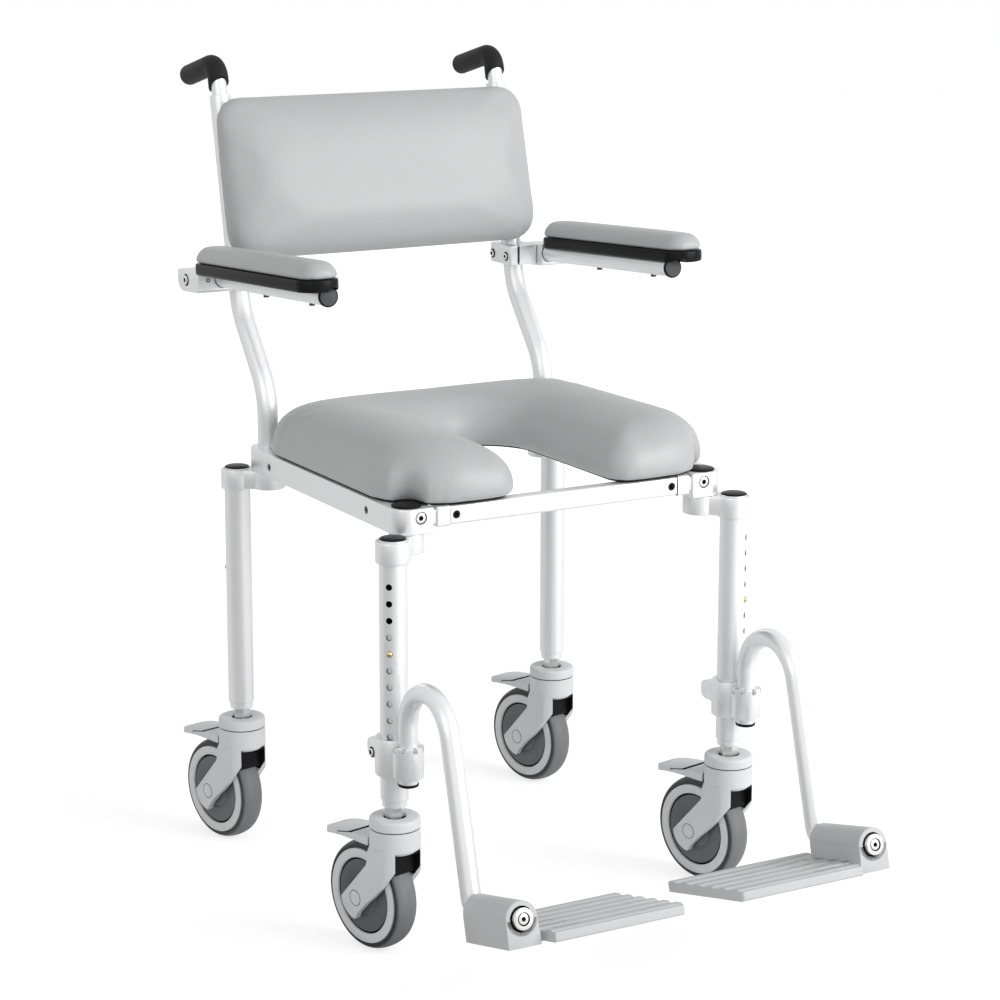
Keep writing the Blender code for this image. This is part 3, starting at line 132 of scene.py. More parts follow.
DENT_RADIUS, DENT_HEIGHT, DENT_DEPTH = 0.027, 0.052, 0.017
BACK_RADIUS, BACK_BEND_RADIUS = 0.0127, 0.085
BACK_FOOT, BACK_BEND_LOW = RAIL_LOW - 0.020, 0.580
BACK_BEND_HIGH, BACK_LEAN, BACK_LENGTH = Vector((0.256, 0.672)), math.radians(11.45), 0.26344
BACK_UP = Vector((math.sin(BACK_LEAN), math.cos(BACK_LEAN)))
BACK_TOP = BACK_BEND_HIGH + BACK_UP * BACK_LENGTH
HANDLE_RADIUS, HANDLE_BEND = 0.0095, 0.019
HANDLE_CORNER = BACK_TOP + Vector((0.00870, 0.03956))
HANDLE_END = HANDLE_CORNER + Vector((0.08450, -0.02029))
GRIP_RADIUS, GRIP_END, GRIP_RIM_RISE = 0.0128, 0.006, 0.0155
CUSHION_HALF_WIDTH, CUSHION_LOW, CUSHION_HIGH = 0.2166, 0.05704, 0.26104
CUSHION_THICKNESS, CUSHION_WEDGE, CUSHION_CORNER = 0.0475, 0.22, 0.034
BACK_SLACK, BACK_SWELL, BACK_HELD = 0.0005, 0.0020, 0.0012
BACK_PLATE, BACK_PLATE_INSET, BACK_SCREWS = 0.0025, 0.012, (0.100, 0.222)
CUSHION_GRID = 0.0046

# Armrests
ARM_X, ARM_TUBE_RADIUS, ARM_REACH = 0.2296, 0.0111, 0.3277
ARM_Y, ARM_Z, ARM_TILT = 0.264, 0.7145, math.radians(3.5)
BLOCK_REAR, BLOCK_FRONT, BLOCK_DEPTH, BLOCK_WIDTH = 0.027, 0.036, 0.0165, 0.046
CLAMP_INBOARD, CLAMP_OUTBOARD, CLAMP_HALF_DEPTH, CLAMP_HALF_HEIGHT = 0.018, 0.0225, 0.026, 0.0125
CLAMP_SLIT, CLAMP_SLIT_WIDTH = 0.0050, 0.0034
CLAMP_MIDDLE = BACK_BEND_HIGH.x + (ARM_Z - BACK_BEND_HIGH.y) * math.tan(BACK_LEAN)
CLAMP_SCREWS, UNDER_SCREWS = (0.0195, -0.0155), (-0.160, -0.285)
BLOCK_INNER = CORNER_X + CLAMP_OUTBOARD + FACE_GAP
PAD_MIDDLE, PAD_HALF_WIDTH, PAD_REAR, PAD_FRONT, PAD_END = ARM_X + 0.0135, 0.0255, 0.024, 0.349, 0.0235
PAD_SLACK, PAD_SWELL, PAD_HELD, PAD_GRID = 0.0005, 0.0010, 0.001, 0.0026
PAD_FORM = ((0.0016, 0.0), (0.0006, 0.08), (0.0002, 0.18), (0.0006, 0.32), (0.0020, 0.48), (0.0040, 0.63),
            (0.0064, 0.77), (0.0092, 0.88), (0.0125, 0.955), (0.0160, 0.990), (0.0205, 1.0))
BASE_FORM = ((0.0030, 0.0), (0.0015, 0.03), (0.0006, 0.09), (0.0001, 0.20), (0.0, 0.30), (0.0, 0.82),
             (0.0003, 0.94), (0.0010, 1.0))
ARM_CAP_RIM = ((0.0110, -0.0014), (0.0119, -0.0011), (0.0123, -0.0003), (0.0123, 0.0010), (0.0119, 0.0014))
ARM_CAP_DISC = ((0.0098, -0.0019), (0.0104, -0.0016), (0.0106, 0.0))
BASE_LOW, BASE_THICKNESS, PAD_THICKNESS = ARM_TUBE_RADIUS - 0.0045, 0.0140, 0.0205

# Footrests
SOCKET_FORWARD, SOCKET_RADIUS, SOCKET_LOW, SOCKET_TOP = 0.0335, 0.0175, 0.2215, 0.2583
NOTCH_WIDTH, NOTCH_DEPTH, NOTCH_SPREAD = 0.0058, 0.006, math.radians(45)
CLAMP_LOW, CLAMP_TOP, CLAMP_WALL = 0.2165, 0.2600, 0.0056
EAR_BACK, EAR_HALF, EAR_HALF_HEIGHT, EAR_ROUND = 0.046, 0.011, 0.0115, 0.0095
CLAMP_WEB = 0.0108
SOCKET_PLUG = ((0.0104, -0.0036), (0.0116, -0.0028), (0.0118, -0.0014), (0.0118, 0.0))
FOOT_TUBE_RADIUS, FOOT_TUBE_LOW = 0.0111, 0.2150
NECK_TOP, NECK_RADIUS, NECK_HEEL, HEEL_RADIUS = 0.330, 0.050, Vector((-0.3896, 0.1165)), 0.014
PLATE_TILT = math.radians(14.5)
BARREL_FRONT, BARREL_REAR, BARREL_RADIUS = 0.1084, 0.0130, 0.019
CAP_RADIUS, CAP_THICKNESS, CAP_RECESS, CAP_RECESS_RADIUS = 0.0118, 0.0085, 0.0040, 0.0138
PLATE_REACH, PLATE_REAR_EDGE, PLATE_FRONT_EDGE = 0.189, 0.0285, 0.1240
PLATE_TOP, PLATE_THICKNESS = -0.0165, 0.0125
BODY_BOTTOM, BODY_INNER = 0.030, 0.030
RIDGE_COUNT, RIDGE_HEIGHT, RIDGE_SHARE = 6, 0.0018, 0.62
DRAIN_COUNT, DRAIN_WIDTH, DRAIN_LENGTH, DRAIN_FROM_AXIS = 5, 0.0090, 0.034, 0.040
RECESS_BACK, RECESS_NEAR, RECESS_FAR = 0.0940, 0.0200, 0.0285

# Light
SKY, KEY_POWER, FILL_POWER = 0.52, 116.0, 18.0
# Direction of the painted dim sector that metal sees reflected in the floor
DIM_SIDE = (-0.883, -0.469, 0.0)

# How finely shapes are cut
ROUND = 56
SMALL_ROUND = 28
SCREW_ROUND = 24
CORNER_STEPS = 10
LEAST_RADIUS = 0.0005
EASED_ANGLE = math.radians(40)
SHARP = math.radians(33)
PAST = 0.01


# Materials

class Wire:
    """One output of a node. Arithmetic on it adds Math nodes."""

    def __init__(self, finish, socket):
        self.finish = finish
        self.socket = socket

    def _math(self, operation, left, right):
        return self.finish.node("ShaderNodeMath", {"operation": operation}, {0: left, 1: right})

    def __add__(self, other):
        return self._math("ADD", self, other)

    def __radd__(self, other):
        return self._math("ADD", other, self)

    def __sub__(self, other):
        return self._math("SUBTRACT", self, other)

    def __rsub__(self, other):
        return self._math("SUBTRACT", other, self)

    def __mul__(self, other):
        return self._math("MULTIPLY", self, other)

    def __rmul__(self, other):
        return self._math("MULTIPLY", other, self)


class Shading:
    """A node tree whose nodes are added by calls."""

    def __init__(self, owner, shader, constants):
        owner.use_nodes = True
        self.tree = owner.node_tree
        self.shader = self.tree.nodes[shader]
        for socket, value in constants.items():
            self.shader.inputs[socket].default_value = value

    def node(self, kind, settings, sockets, output=0):
        made = self.tree.nodes.new(kind)
        for key, value in settings.items():
            setattr(made, key, value)
        for key, value in sockets.items():
            if isinstance(value, Wire):
                self.tree.links.new(value.socket, made.inputs[key])
            else:
                made.inputs[key].default_value = value
        return Wire(self, made.outputs[output])

    def feed(self, socket, wire):
        self.tree.links.new(wire.socket, self.shader.inputs[socket])

    def place(self):
        return self.node("ShaderNodeTexCoord", {}, {}, "Object")

    def stretched(self, scale):
        return self.node("ShaderNodeMapping", {}, {"Vector": self.place(), "Scale": scale})

    def noise(self, scale, detail=2.0, vector=None):
        return self.node("ShaderNodeTexNoise", {}, {"Vector": vector or self.place(), "Scale": scale,
                                                    "Detail": detail}, "Fac")

    def pebble(self, scale):
        return self.node("ShaderNodeTexVoronoi", {"feature": "SMOOTH_F1"},
                         {"Vector": self.place(), "Scale": scale, "Smoothness": 0.6}, "Distance")

    def tint(self, share, first, second):
        return self.node("ShaderNodeMix", {"data_type": "RGBA"},
                         {0: share, 6: (*first, 1.0), 7: (*second, 1.0)}, 2)

    def ramp(self, value, low, high):
        """0 at low, 1 at high and beyond."""
        return self.node("ShaderNodeMapRange", {}, {"Value": value, "From Min": low, "From Max": high})

    def bump(self, height, strength, distance):
        self.feed("Normal", self.node("ShaderNodeBump", {},
                                      {"Strength": strength, "Distance": distance, "Height": height}))


class Finish(Shading):
    """A material and the record's slot that it shows."""

    def __init__(self, name, slot, constants):
        self.slot = slot
        self.material = bpy.data.materials.new(name)
        super().__init__(self.material, "Principled BSDF", constants)


def grained(name, slot, first, second, rough, rough_spread, grain, depth, constants=None, cloud=14.0):
    """A finish with soft clouds in its colour and a fine grain in its gloss and surface."""
    made = Finish(name, slot, constants or {})
    fine = made.noise(grain, 3.0)
    soft = made.noise(cloud, 4.0)
    made.feed("Base Color", made.tint(soft * 0.7 + fine * 0.3, first, second))
    made.feed("Roughness", rough - rough_spread / 2 + fine * rough_spread)
    made.bump(fine, 0.35, depth)
    return made


def vinyl_finish():
    """Coated upholstery vinyl: a fine pebbled grain under a soft sheen."""
    made = Finish("grey_vinyl_grain", "grey_vinyl",
                  {"Sheen Weight": 0.10, "Sheen Roughness": 0.45, "IOR": 1.48})
    pebble = made.pebble(780.0)
    crease = made.noise(210.0, 5.0)
    soft = made.noise(7.0, 3.0)
    grain = pebble * 0.7 + crease * 0.5
    shade = soft * 0.6 + crease * 0.25 + pebble * 0.25
    made.feed("Base Color", made.tint(shade, (0.425, 0.434, 0.438), (0.487, 0.496, 0.501)))
    made.feed("Roughness", 0.36 + grain * 0.12)
    made.bump(grain, 0.22, 0.00025)
    return made


def steel_finish():
    """Bright steel with fine turning marks."""
    made = Finish("turned_bright_steel", "bright_steel", {"Metallic": 1.0})
    marks = made.noise(500.0, 4.0, made.stretched((1.0, 1.0, 6.0)))
    made.feed("Base Color", made.tint(marks, (0.66, 0.66, 0.65), (0.80, 0.80, 0.79)))
    made.feed("Roughness", 0.16 + marks * 0.16)
    made.bump(marks, 0.2, 0.00008)
    return made


def tyre_finish():
    """Grey tyre rubber, dulled where it rolls, its walls painted darker as shade. The axle is along X."""
    made = Finish("grey_tyre_rubber", "tyre_grey", {"IOR": 1.5})
    grit = made.noise(620.0, 4.0)
    scuff = made.noise(60.0, 5.0, made.stretched((5.0, 1.0, 1.0)))
    across = made.node("ShaderNodeSeparateXYZ", {}, {"Vector": made.place()}, "X")
    # The tyre's walls take painted shade
    wall = made.ramp(across * across, 0.0120 ** 2, 0.0148 ** 2)
    made.feed("Base Color", made.tint((scuff * 0.25 + grit * 0.12) * (1.0 - wall) + wall,
                                      (0.205, 0.213, 0.217), (0.026, 0.028, 0.029)))
    made.feed("Roughness", 0.48 + scuff * 0.22)
    made.bump(grit + scuff * 0.6, 0.3, 0.00018)
    return made


ALUMINIUM = grained("satin_silver_coat", "satin_aluminium", (0.82, 0.83, 0.835), (0.87, 0.88, 0.885),
                    0.36, 0.10, 1500.0, 0.00001, {"Metallic": 0.55})
STEEL = steel_finish()
BRASS = grained("brass_button", "brass", (0.58, 0.50, 0.22), (0.70, 0.62, 0.33),
                0.28, 0.12, 1200.0, 0.00004, {"Metallic": 1.0})
CASTER_GREY = grained("caster_moulding", "grey_plastic", (0.665, 0.677, 0.690), (0.735, 0.747, 0.760),
                      0.46, 0.16, 1100.0, 0.00010)
RIM_GREY = grained("wheel_rim_moulding", "grey_plastic", (0.660, 0.670, 0.680), (0.770, 0.778, 0.785),
                   0.48, 0.20, 420.0, 0.00014, cloud=60.0)
DISC_GREY = grained("wheel_disc_moulding", "hub_grey", (0.090, 0.093, 0.097), (0.135, 0.138, 0.142),
                    0.40, 0.16, 700.0, 0.00010)
TYRE = tyre_finish()
PLATE_GREY = grained("footplate_moulding", "plate_grey", (0.505, 0.512, 0.518), (0.585, 0.592, 0.598),
                     0.50, 0.18, 520.0, 0.00018, cloud=22.0)
BLACK = grained("black_moulding", "black_plastic", (0.007, 0.007, 0.008), (0.014, 0.014, 0.015),
                0.26, 0.16, 800.0, 0.00006, {"Specular IOR Level": 0.08})
# Painted shade: a near-black finish laid on recesses, grooves, gaps and hole walls where shade falls
PAINTED_SHADE = grained("unlit_recess", "black_plastic", (0.003, 0.003, 0.003), (0.006, 0.006, 0.006),
               0.80, 0.10, 800.0, 0.00004, {"Specular IOR Level": 0.05})
CAP_GREY = grained("tube_cap_moulding", "black_plastic", (0.060, 0.062, 0.065), (0.095, 0.097, 0.100),
                   0.55, 0.20, 650.0, 0.00022, {"Specular IOR Level": 0.3})
GRIP = grained("grip_rubber", "grip_black", (0.006, 0.006, 0.007), (0.012, 0.012, 0.013),
               0.62, 0.20, 900.0, 0.00030, {"Specular IOR Level": 0.25})
VINYL = vinyl_finish()


# Outlines and paths

def arc(centre, radius, start, end, steps):
    return [Vector((centre[0] + radius * math.cos(start + (end - start) * step / steps),
                    centre[1] + radius * math.sin(start + (end - start) * step / steps)))
            for step in range(steps + 1)]


def corner_turn(corners, index):
    """Directions into and out of a corner, and the angle from one to the other."""
    corner = corners[index]
    before = (corner - corners[index - 1]).normalized()
    after = (corners[(index + 1) % len(corners)] - corner).normalized()
    return before, after, math.atan2(before.x * after.y - before.y * after.x, before.dot(after))


def corner_arc(corners, index, radius, steps):
    """The arc that rounds a corner off."""
    before, _, turn = corner_turn(corners, index)
    start = corners[index] - before * radius * math.tan(abs(turn) / 2)
    centre = start + Vector((-before.y, before.x)) * math.copysign(radius, turn)
    first = math.atan2((start - centre).y, (start - centre).x)
    return arc(centre, radius, first, first + turn, steps)


def inset_corners(corners, inset):
    """Corners moved so that every side moves inwards by inset."""
    moved_corners = []
    for index, corner in enumerate(corners):
        before, after, _ = corner_turn(corners, index)
        inward_before = Vector((-before.y, before.x))
        inward_after = Vector((-after.y, after.x))
        share = inset / (1.0 + inward_before.dot(inward_after))
        moved_corners.append(corner + (inward_before + inward_after) * share)
    return moved_corners


def rounded_outline(corners, radii, steps=CORNER_STEPS, inset=0.0):
    """A counter-clockwise outline with round corners, drawn inwards by inset."""
    corners = inset_corners([Vector(corner) for corner in corners], inset)
    points = []
    for index, radius in enumerate(radii):
        turn = corner_turn(corners, index)[2]
        points += corner_arc(corners, index, max(radius - math.copysign(inset, turn), LEAST_RADIUS), steps)
    return points


def rounded_path(corners, radii, steps=16):
    """A path in the YZ plane through straight runs and bends."""
    corners = [Vector(corner) for corner in corners]
    points = [corners[0]]
    for index, radius in enumerate(radii, 1):
        points += corner_arc(corners, index, radius, steps)
    return points + [corners[-1]]


def quarter(steps):
    """The angles of a quarter turn, its start left out."""
    return [math.pi / 2 * step / steps for step in range(1, steps + 1)]


# Solids

def loft(rings, closed=False):
    solid = bmesh.new()
    loops = [[solid.verts.new(point) for point in ring] for ring in rings]
    pairs = list(zip(loops, loops[1:]))
    if closed:
        pairs.append((loops[-1], loops[0]))
    for low, high in pairs:
        count = len(low)
        for index in range(count):
            after = (index + 1) % count
            solid.faces.new((low[index], low[after], high[after], high[index]))
    if not closed:
        solid.faces.new(loops[0])
        solid.faces.new(list(reversed(loops[-1])))
    bmesh.ops.recalc_face_normals(solid, faces=solid.faces)
    return solid


def prism(outline, low, high):
    return loft([[(point[0], point[1], level) for point in outline] for level in (low, high)])


def circle(radius, height, sides):
    turn = 2 * math.pi / sides
    return [(radius * math.cos(turn * step), radius * math.sin(turn * step), height) for step in range(sides)]


def turned(profile, sides=ROUND, closed=False):
    """Turn (radius, height) points about Z. An open profile is capped flat at both ends."""
    return loft([circle(radius, height, sides) for radius, height in profile], closed)


def rod(radius, low, high, sides=SMALL_ROUND):
    return turned([(radius, low), (radius, high)], sides)


def box(low, high):
    plan = [(low[0], low[1]), (high[0], low[1]), (high[0], high[1]), (low[0], high[1])]
    return prism(plan, low[2], high[2])


def swept(path, radii, sides=40):
    """A round bar along a path in the YZ plane, with one radius a point."""
    turn = 2 * math.pi / sides
    rings = []
    for index, point in enumerate(path):
        along = (path[min(index + 1, len(path) - 1)] - path[max(index - 1, 0)]).normalized()
        out = Vector((0.0, -along.y, along.x))
        centre = Vector((0.0, point.x, point.y))
        rings.append([centre + radii[index] * (Vector((math.cos(turn * step), 0.0, 0.0))
                                               + out * math.sin(turn * step)) for step in range(sides)])
    return loft(rings)


def moved(solid, matrix):
    solid.transform(matrix)
    bmesh.ops.recalc_face_normals(solid, faces=solid.faces)
    return solid


def at(x=0.0, y=0.0, z=0.0):
    return Matrix.Translation((x, y, z))


def pointing(direction):
    """Turns what is made on Z to point in a direction."""
    return Vector(direction).to_track_quat("Z", "Y").to_matrix().to_4x4()


def shifted(solid, x=0.0, y=0.0, z=0.0):
    return moved(solid, at(x, y, z))


def along_x(solid, place=(0, 0, 0)):
    """Lay a solid made along Z along X, then move it."""
    return moved(solid, at(*place) @ Matrix.Rotation(math.pi / 2, 4, "Y"))


def forward(solid):
    """Lay a solid made along Z along -Y."""
    return moved(solid, Matrix.Rotation(math.pi / 2, 4, "X"))


def side_profile(outline, low, high):
    """A prism whose outline is drawn in the YZ plane and which runs along X."""
    turn = Matrix(((0, 0, 1, 0), (1, 0, 0, 0), (0, 1, 0, 0), (0, 0, 0, 1)))
    return moved(prism(outline, low, high), turn)


def mirrored(solid, side):
    if side < 0:
        moved(solid, Matrix.Scale(-1, 4, (1, 0, 0)))
    return solid


def eased(solid, width, segments=3):
    """Round every sharp edge."""
    bmesh.ops.remove_doubles(solid, verts=solid.verts, dist=1e-6)
    sharp = [edge for edge in solid.edges if edge.is_manifold and edge.calc_face_angle(0.0) > EASED_ANGLE]
    bmesh.ops.bevel(solid, geom=sharp, offset=width, offset_type="OFFSET", segments=segments, profile=0.5,
                    affect="EDGES", clamp_overlap=True)
    return solid


def scratch_object(solid):
    mesh = bpy.data.meshes.new("scratch")
    bmesh.ops.recalc_face_normals(solid, faces=solid.faces)
    solid.to_mesh(mesh)
    solid.free()
    item = bpy.data.objects.new("scratch", mesh)
    bpy.context.scene.collection.objects.link(item)
    return item


def removed(item):
    mesh = item.data
    bpy.data.objects.remove(item)
    bpy.data.meshes.remove(mesh)


def taken(item):
    """The shape of an object with its modifiers; the object goes."""
    result = item.evaluated_get(bpy.context.evaluated_depsgraph_get())
    solid = bmesh.new()
    solid.from_mesh(result.to_mesh())
    result.to_mesh_clear()
    removed(item)
    return solid


def combined(base, tools, operation):
    for tool in tools:
        base_item = scratch_object(base)
        tool_item = scratch_object(tool)
        step = base_item.modifiers.new("combine", "BOOLEAN")
        step.operation = operation
        step.solver = "EXACT"
        step.object = tool_item
        base = taken(base_item)
        removed(tool_item)
    return base


def joined(base, *tools):
    return combined(base, tools, "UNION")


def cut(base, *tools):
    return combined(base, tools, "DIFFERENCE")


def shared(base, *tools):
    return combined(base, tools, "INTERSECT")


def together(solids):
    """Several separate solids as one mesh."""
    whole = bmesh.new()
    for solid in solids:
        mesh = bpy.data.meshes.new("scratch")
        solid.to_mesh(mesh)
        solid.free()
        whole.from_mesh(mesh)
        bpy.data.meshes.remove(mesh)
    return whole


# Pieces

def mesh_of(name, solid, *finishes, dark=None):
    """A smooth-shaded mesh. Faces whose middle dark(point) accepts take the second finish, which is always
    the painted shade.
    """
    bmesh.ops.recalc_face_normals(solid, faces=solid.faces)
    if dark:
        for face in solid.faces:
            face.material_index = 1 if dark(face.calc_center_median()) else 0
    mesh = bpy.data.meshes.new(name)
    solid.to_mesh(mesh)
    solid.free()
    for finish in finishes:
        mesh.materials.append(finish.material)
    mesh.shade_smooth()
    mesh.set_sharp_from_angle(angle=SHARP)
    return mesh


def show(name, mesh, finish, body, place=ROOT, stands_for=()):
    piece = bpy.data.objects.new(name, mesh)
    piece.matrix_world = place
    bpy.context.scene.collection.objects.link(piece)
    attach(piece, body)
    if stands_for:
        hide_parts(*stands_for)
    return piece


def show_one(spot, word, mesh, finish, body, place, node=None):
    """One of a set of like pieces, named for its hand or corner."""
    return show(f"{word}_{spot}", mesh, finish, body, place, [f"{node}_{spot}"] if node else ())


def show_hand(hand, word, solid, finish, body, place, node=None):
    """A piece that is made for the left hand, mirrored for the right."""
    mesh = mesh_of(f"{word}_{hand}", mirrored(solid.copy(), SIDES[hand]), finish)
    return show_one(hand, word, mesh, finish, body, place, node)


def hexagon(flat, height, sides):
    """A hexagon with as many points as a circle of that many sides."""
    points = []
    for step in range(sides):
        angle = 2 * math.pi * step / sides
        reach = flat / math.cos((angle % (math.pi / 3)) - math.pi / 6)
        points.append((reach * math.cos(angle), reach * math.sin(angle), height))
    return points


def screw_mesh(name, radius, height, flat, depth, finish=STEEL):
    """A round screw head on Z with a hexagon socket sunk in its top; the socket's floor takes painted shade.
    """
    soft = min(0.0008, height / 3)
    profile = [(radius, 0.0), (radius, height - soft), (radius - soft * 0.3, height - soft * 0.3),
               (radius - soft, height)]
    head = loft([circle(*point, SCREW_ROUND) for point in profile]
                + [hexagon(flat, level, SCREW_ROUND) for level in (height, height - depth)])
    floor = height - depth * 0.6
    return mesh_of(name, head, finish, PAINTED_SHADE,
                   dark=lambda point: point.z < floor and math.hypot(point.x, point.y) < flat)


def ring_mesh(name, outer, inner, height):
    """A disc of painted shade that shows as a dark ring round a screw's head, where its hole would lie in
    shade.
    """
    return mesh_of(name, turned([(outer, 0.0), (outer, height), (inner, height + 0.0001)]), PAINTED_SHADE)


def dome_solid(radius, height, lip):
    """A low round cap on Z with an upright lip and a domed top."""
    profile = [(radius, 0.0), (radius, lip)]
    for turn in quarter(6):
        profile.append((radius * (0.04 + 0.96 * math.cos(turn)), lip + (height - lip) * math.sin(turn)))
    return turned(profile)


def facing(x, y, z, direction):
    """Stand a piece made on Z at a point, pointing in a direction."""
    return ROOT @ at(x, y, z) @ pointing(direction)


# Soft pieces

def soft_profile(tuck, crown, waist, fullness):
    """(inset, rise) pairs up a cushion's side: tucked in at its base, full at the waist, crowned on top."""
    pairs = [(tuck, 0.0), (tuck * 0.55, waist * 0.22), (tuck * 0.25, waist * 0.5), (tuck * 0.06, waist * 0.8)]
    for turn in [0.0] + quarter(16):
        pairs.append((crown * (1 - math.cos(turn)), waist + (1 - waist) * math.sin(turn) ** (2 / fullness)))
    return pairs


def even_cap(most):
    return lambda points: np.full(len(points), most)


def coordinates(mesh):
    flat = np.zeros(len(mesh.vertices) * 3, np.float32)
    mesh.vertices.foreach_get("co", flat)
    return flat.reshape(-1, 3).astype(float)


def stuffed(solid, held, voxel, pressure, cap, relaxing=9):
    """Swell a cushion under cloth pressure with its flat side held, then refine it once.

    held(points) says which points are fixed, and cap(points) gives the most that each may move.
    """
    item = scratch_object(solid)
    step = item.modifiers.new("grid", "REMESH")
    step.mode = "VOXEL"
    step.voxel_size = voxel
    item = scratch_object(taken(item))
    mesh = item.data
    start = coordinates(mesh)
    group = item.vertex_groups.new(name="held")
    group.add([int(index) for index in np.nonzero(held(start))[0]], 1.0, "REPLACE")
    cloth = item.modifiers.new("filling", "CLOTH")
    cloth.settings.use_pressure = True
    cloth.settings.uniform_pressure_force = pressure
    cloth.settings.effector_weights.gravity = 0.0
    cloth.settings.vertex_group_mass = "held"
    cloth.settings.quality = 4
    cloth.point_cache.frame_start = 1
    cloth.point_cache.frame_end = 20
    scene = bpy.context.scene
    for number in range(1, 21):
        scene.frame_set(number)
    graph = bpy.context.evaluated_depsgraph_get()
    result = item.evaluated_get(graph)
    swollen = coordinates(result.data)
    item.modifiers.remove(cloth)
    scene.frame_set(1)
    travel = swollen - start
    length = np.maximum(np.linalg.norm(travel, axis=1, keepdims=True), 1e-9)
    start = start + travel * np.minimum(1.0, cap(start)[:, None] / length)
    mesh.vertices.foreach_set("co", start.astype(np.float32).ravel())
    mesh.update()
    relax = item.modifiers.new("relax", "SMOOTH")
    relax.factor = 0.4
    relax.iterations = relaxing
    finer = item.modifiers.new("finer", "SUBSURF")
    finer.levels = 1
    finer.render_levels = 1
    return taken(item)


def horseshoe(inset, end_share=1.0):
    """The seat's outline drawn inwards by inset, and by a share of it at the end of the slot."""
    wide, half, slot_back = SEAT_HALF_WIDTH, SLOT_HALF_WIDTH, SLOT_BACK + inset * (end_share - 1)
    corners = [(-wide, -SEAT_FRONT), (-half, -SEAT_FRONT), (-half, slot_back), (half, slot_back),
               (half, -SEAT_FRONT), (wide, -SEAT_FRONT), (wide, SEAT_REAR), (-wide, SEAT_REAR)]
    slot_end = half - 0.001
    radii = [SEAT_FRONT_CORNER, SLOT_CORNER, slot_end, slot_end, SLOT_CORNER, SEAT_FRONT_CORNER,
             SEAT_REAR_CORNER, SEAT_REAR_CORNER]
    return rounded_outline(corners, radii, inset=inset)


def dent_over_caps(solid):
    """Draw the seat's front corners in over the frame's corner caps."""
    points = np.array([point.co for point in solid.verts])
    for side in (-1, 1):
        away = np.array([points[:, 0] - side * CORNER_X, points[:, 1] + CORNER_Y]).T
        near = np.clip(1 - np.linalg.norm(away, axis=1) / DENT_RADIUS, 0, 1)
        low = np.clip(1 - (points[:, 2] - SEAT_LOW) / DENT_HEIGHT, 0, 1)
        depth = DENT_DEPTH * near * near * (3 - 2 * near) * low ** 1.2
        points[:, 0] -= side * depth * 0.70
        points[:, 1] += depth * 0.71
    for point, place in zip(solid.verts, points):
        point.co = place


def seat_crown(x, y):
    """What the seat gains along its middle and loses towards its rear and on its horns by the slot."""
    inner = max(0.0, 1 - (abs(x) - SLOT_HALF_WIDTH) / HORN_WIDTH)
    ahead = min(1.0, max(0.0, (HORN_ROOT - y) / HORN_RUN))
    return CROWN_RISE - CROWN_FALL * (y - CROWN_MIDDLE) ** 2 - HORN_DIP * inner * ahead


def seat_cap(points):
    """How far the seat may swell: less next to the back uprights."""
    away = np.hypot(np.abs(points[:, 0]) - CORNER_X, points[:, 1] - CORNER_Y) - BACK_RADIUS
    return np.clip(away - TUBE_ROOM, 0.0, SEAT_SWELL)


def make_seat():
    foot = SEAT_LOW - COVER_DROP
    tall = SEAT_THICKNESS + COVER_DROP - SEAT_SLACK
    rings = [[(point.x, point.y, foot + (tall + seat_crown(point.x, point.y)) * rise)
              for point in horseshoe(inset + SEAT_SLACK, SLOT_END_SHARE)]
             for inset, rise in soft_profile(tuck=0.0015, crown=0.066, waist=0.13, fullness=2.3)]
    solid = stuffed(loft(rings), lambda points: points[:, 2] < foot + SEAT_HELD, CUSHION_GRID, 5.0,
                    seat_cap)
    dent_over_caps(solid)
    piece = show("seat_cushion_cover", mesh_of("seat_cushion_cover", solid, VINYL), VINYL, "frame", ROOT,
                 ["seat_cushion"])

    low = FRAME_TOP + GAP
    board = prism(horseshoe(BOARD_INSET + 0.003), low, low + BOARD_THICKNESS)
    notches = [shifted(rod(CAP_NOTCH_RADIUS, low - PAST, low + PAST, ROUND), side * CORNER_X, -CORNER_Y)
               for side in (-1, 1)]
    board = eased(cut(board, *notches), 0.0008, 2)
    show("seat_board_edge", mesh_of("seat_board_edge", board, BLACK), BLACK, "frame", ROOT, ["seat_board"])


def back_point(x, along, depth):
    """A point by its distance up the uprights and forward of their axes."""
    flat = BACK_BEND_HIGH + BACK_UP * along
    return Vector((x, flat.x - BACK_UP.y * depth, flat.y + BACK_UP.x * depth))


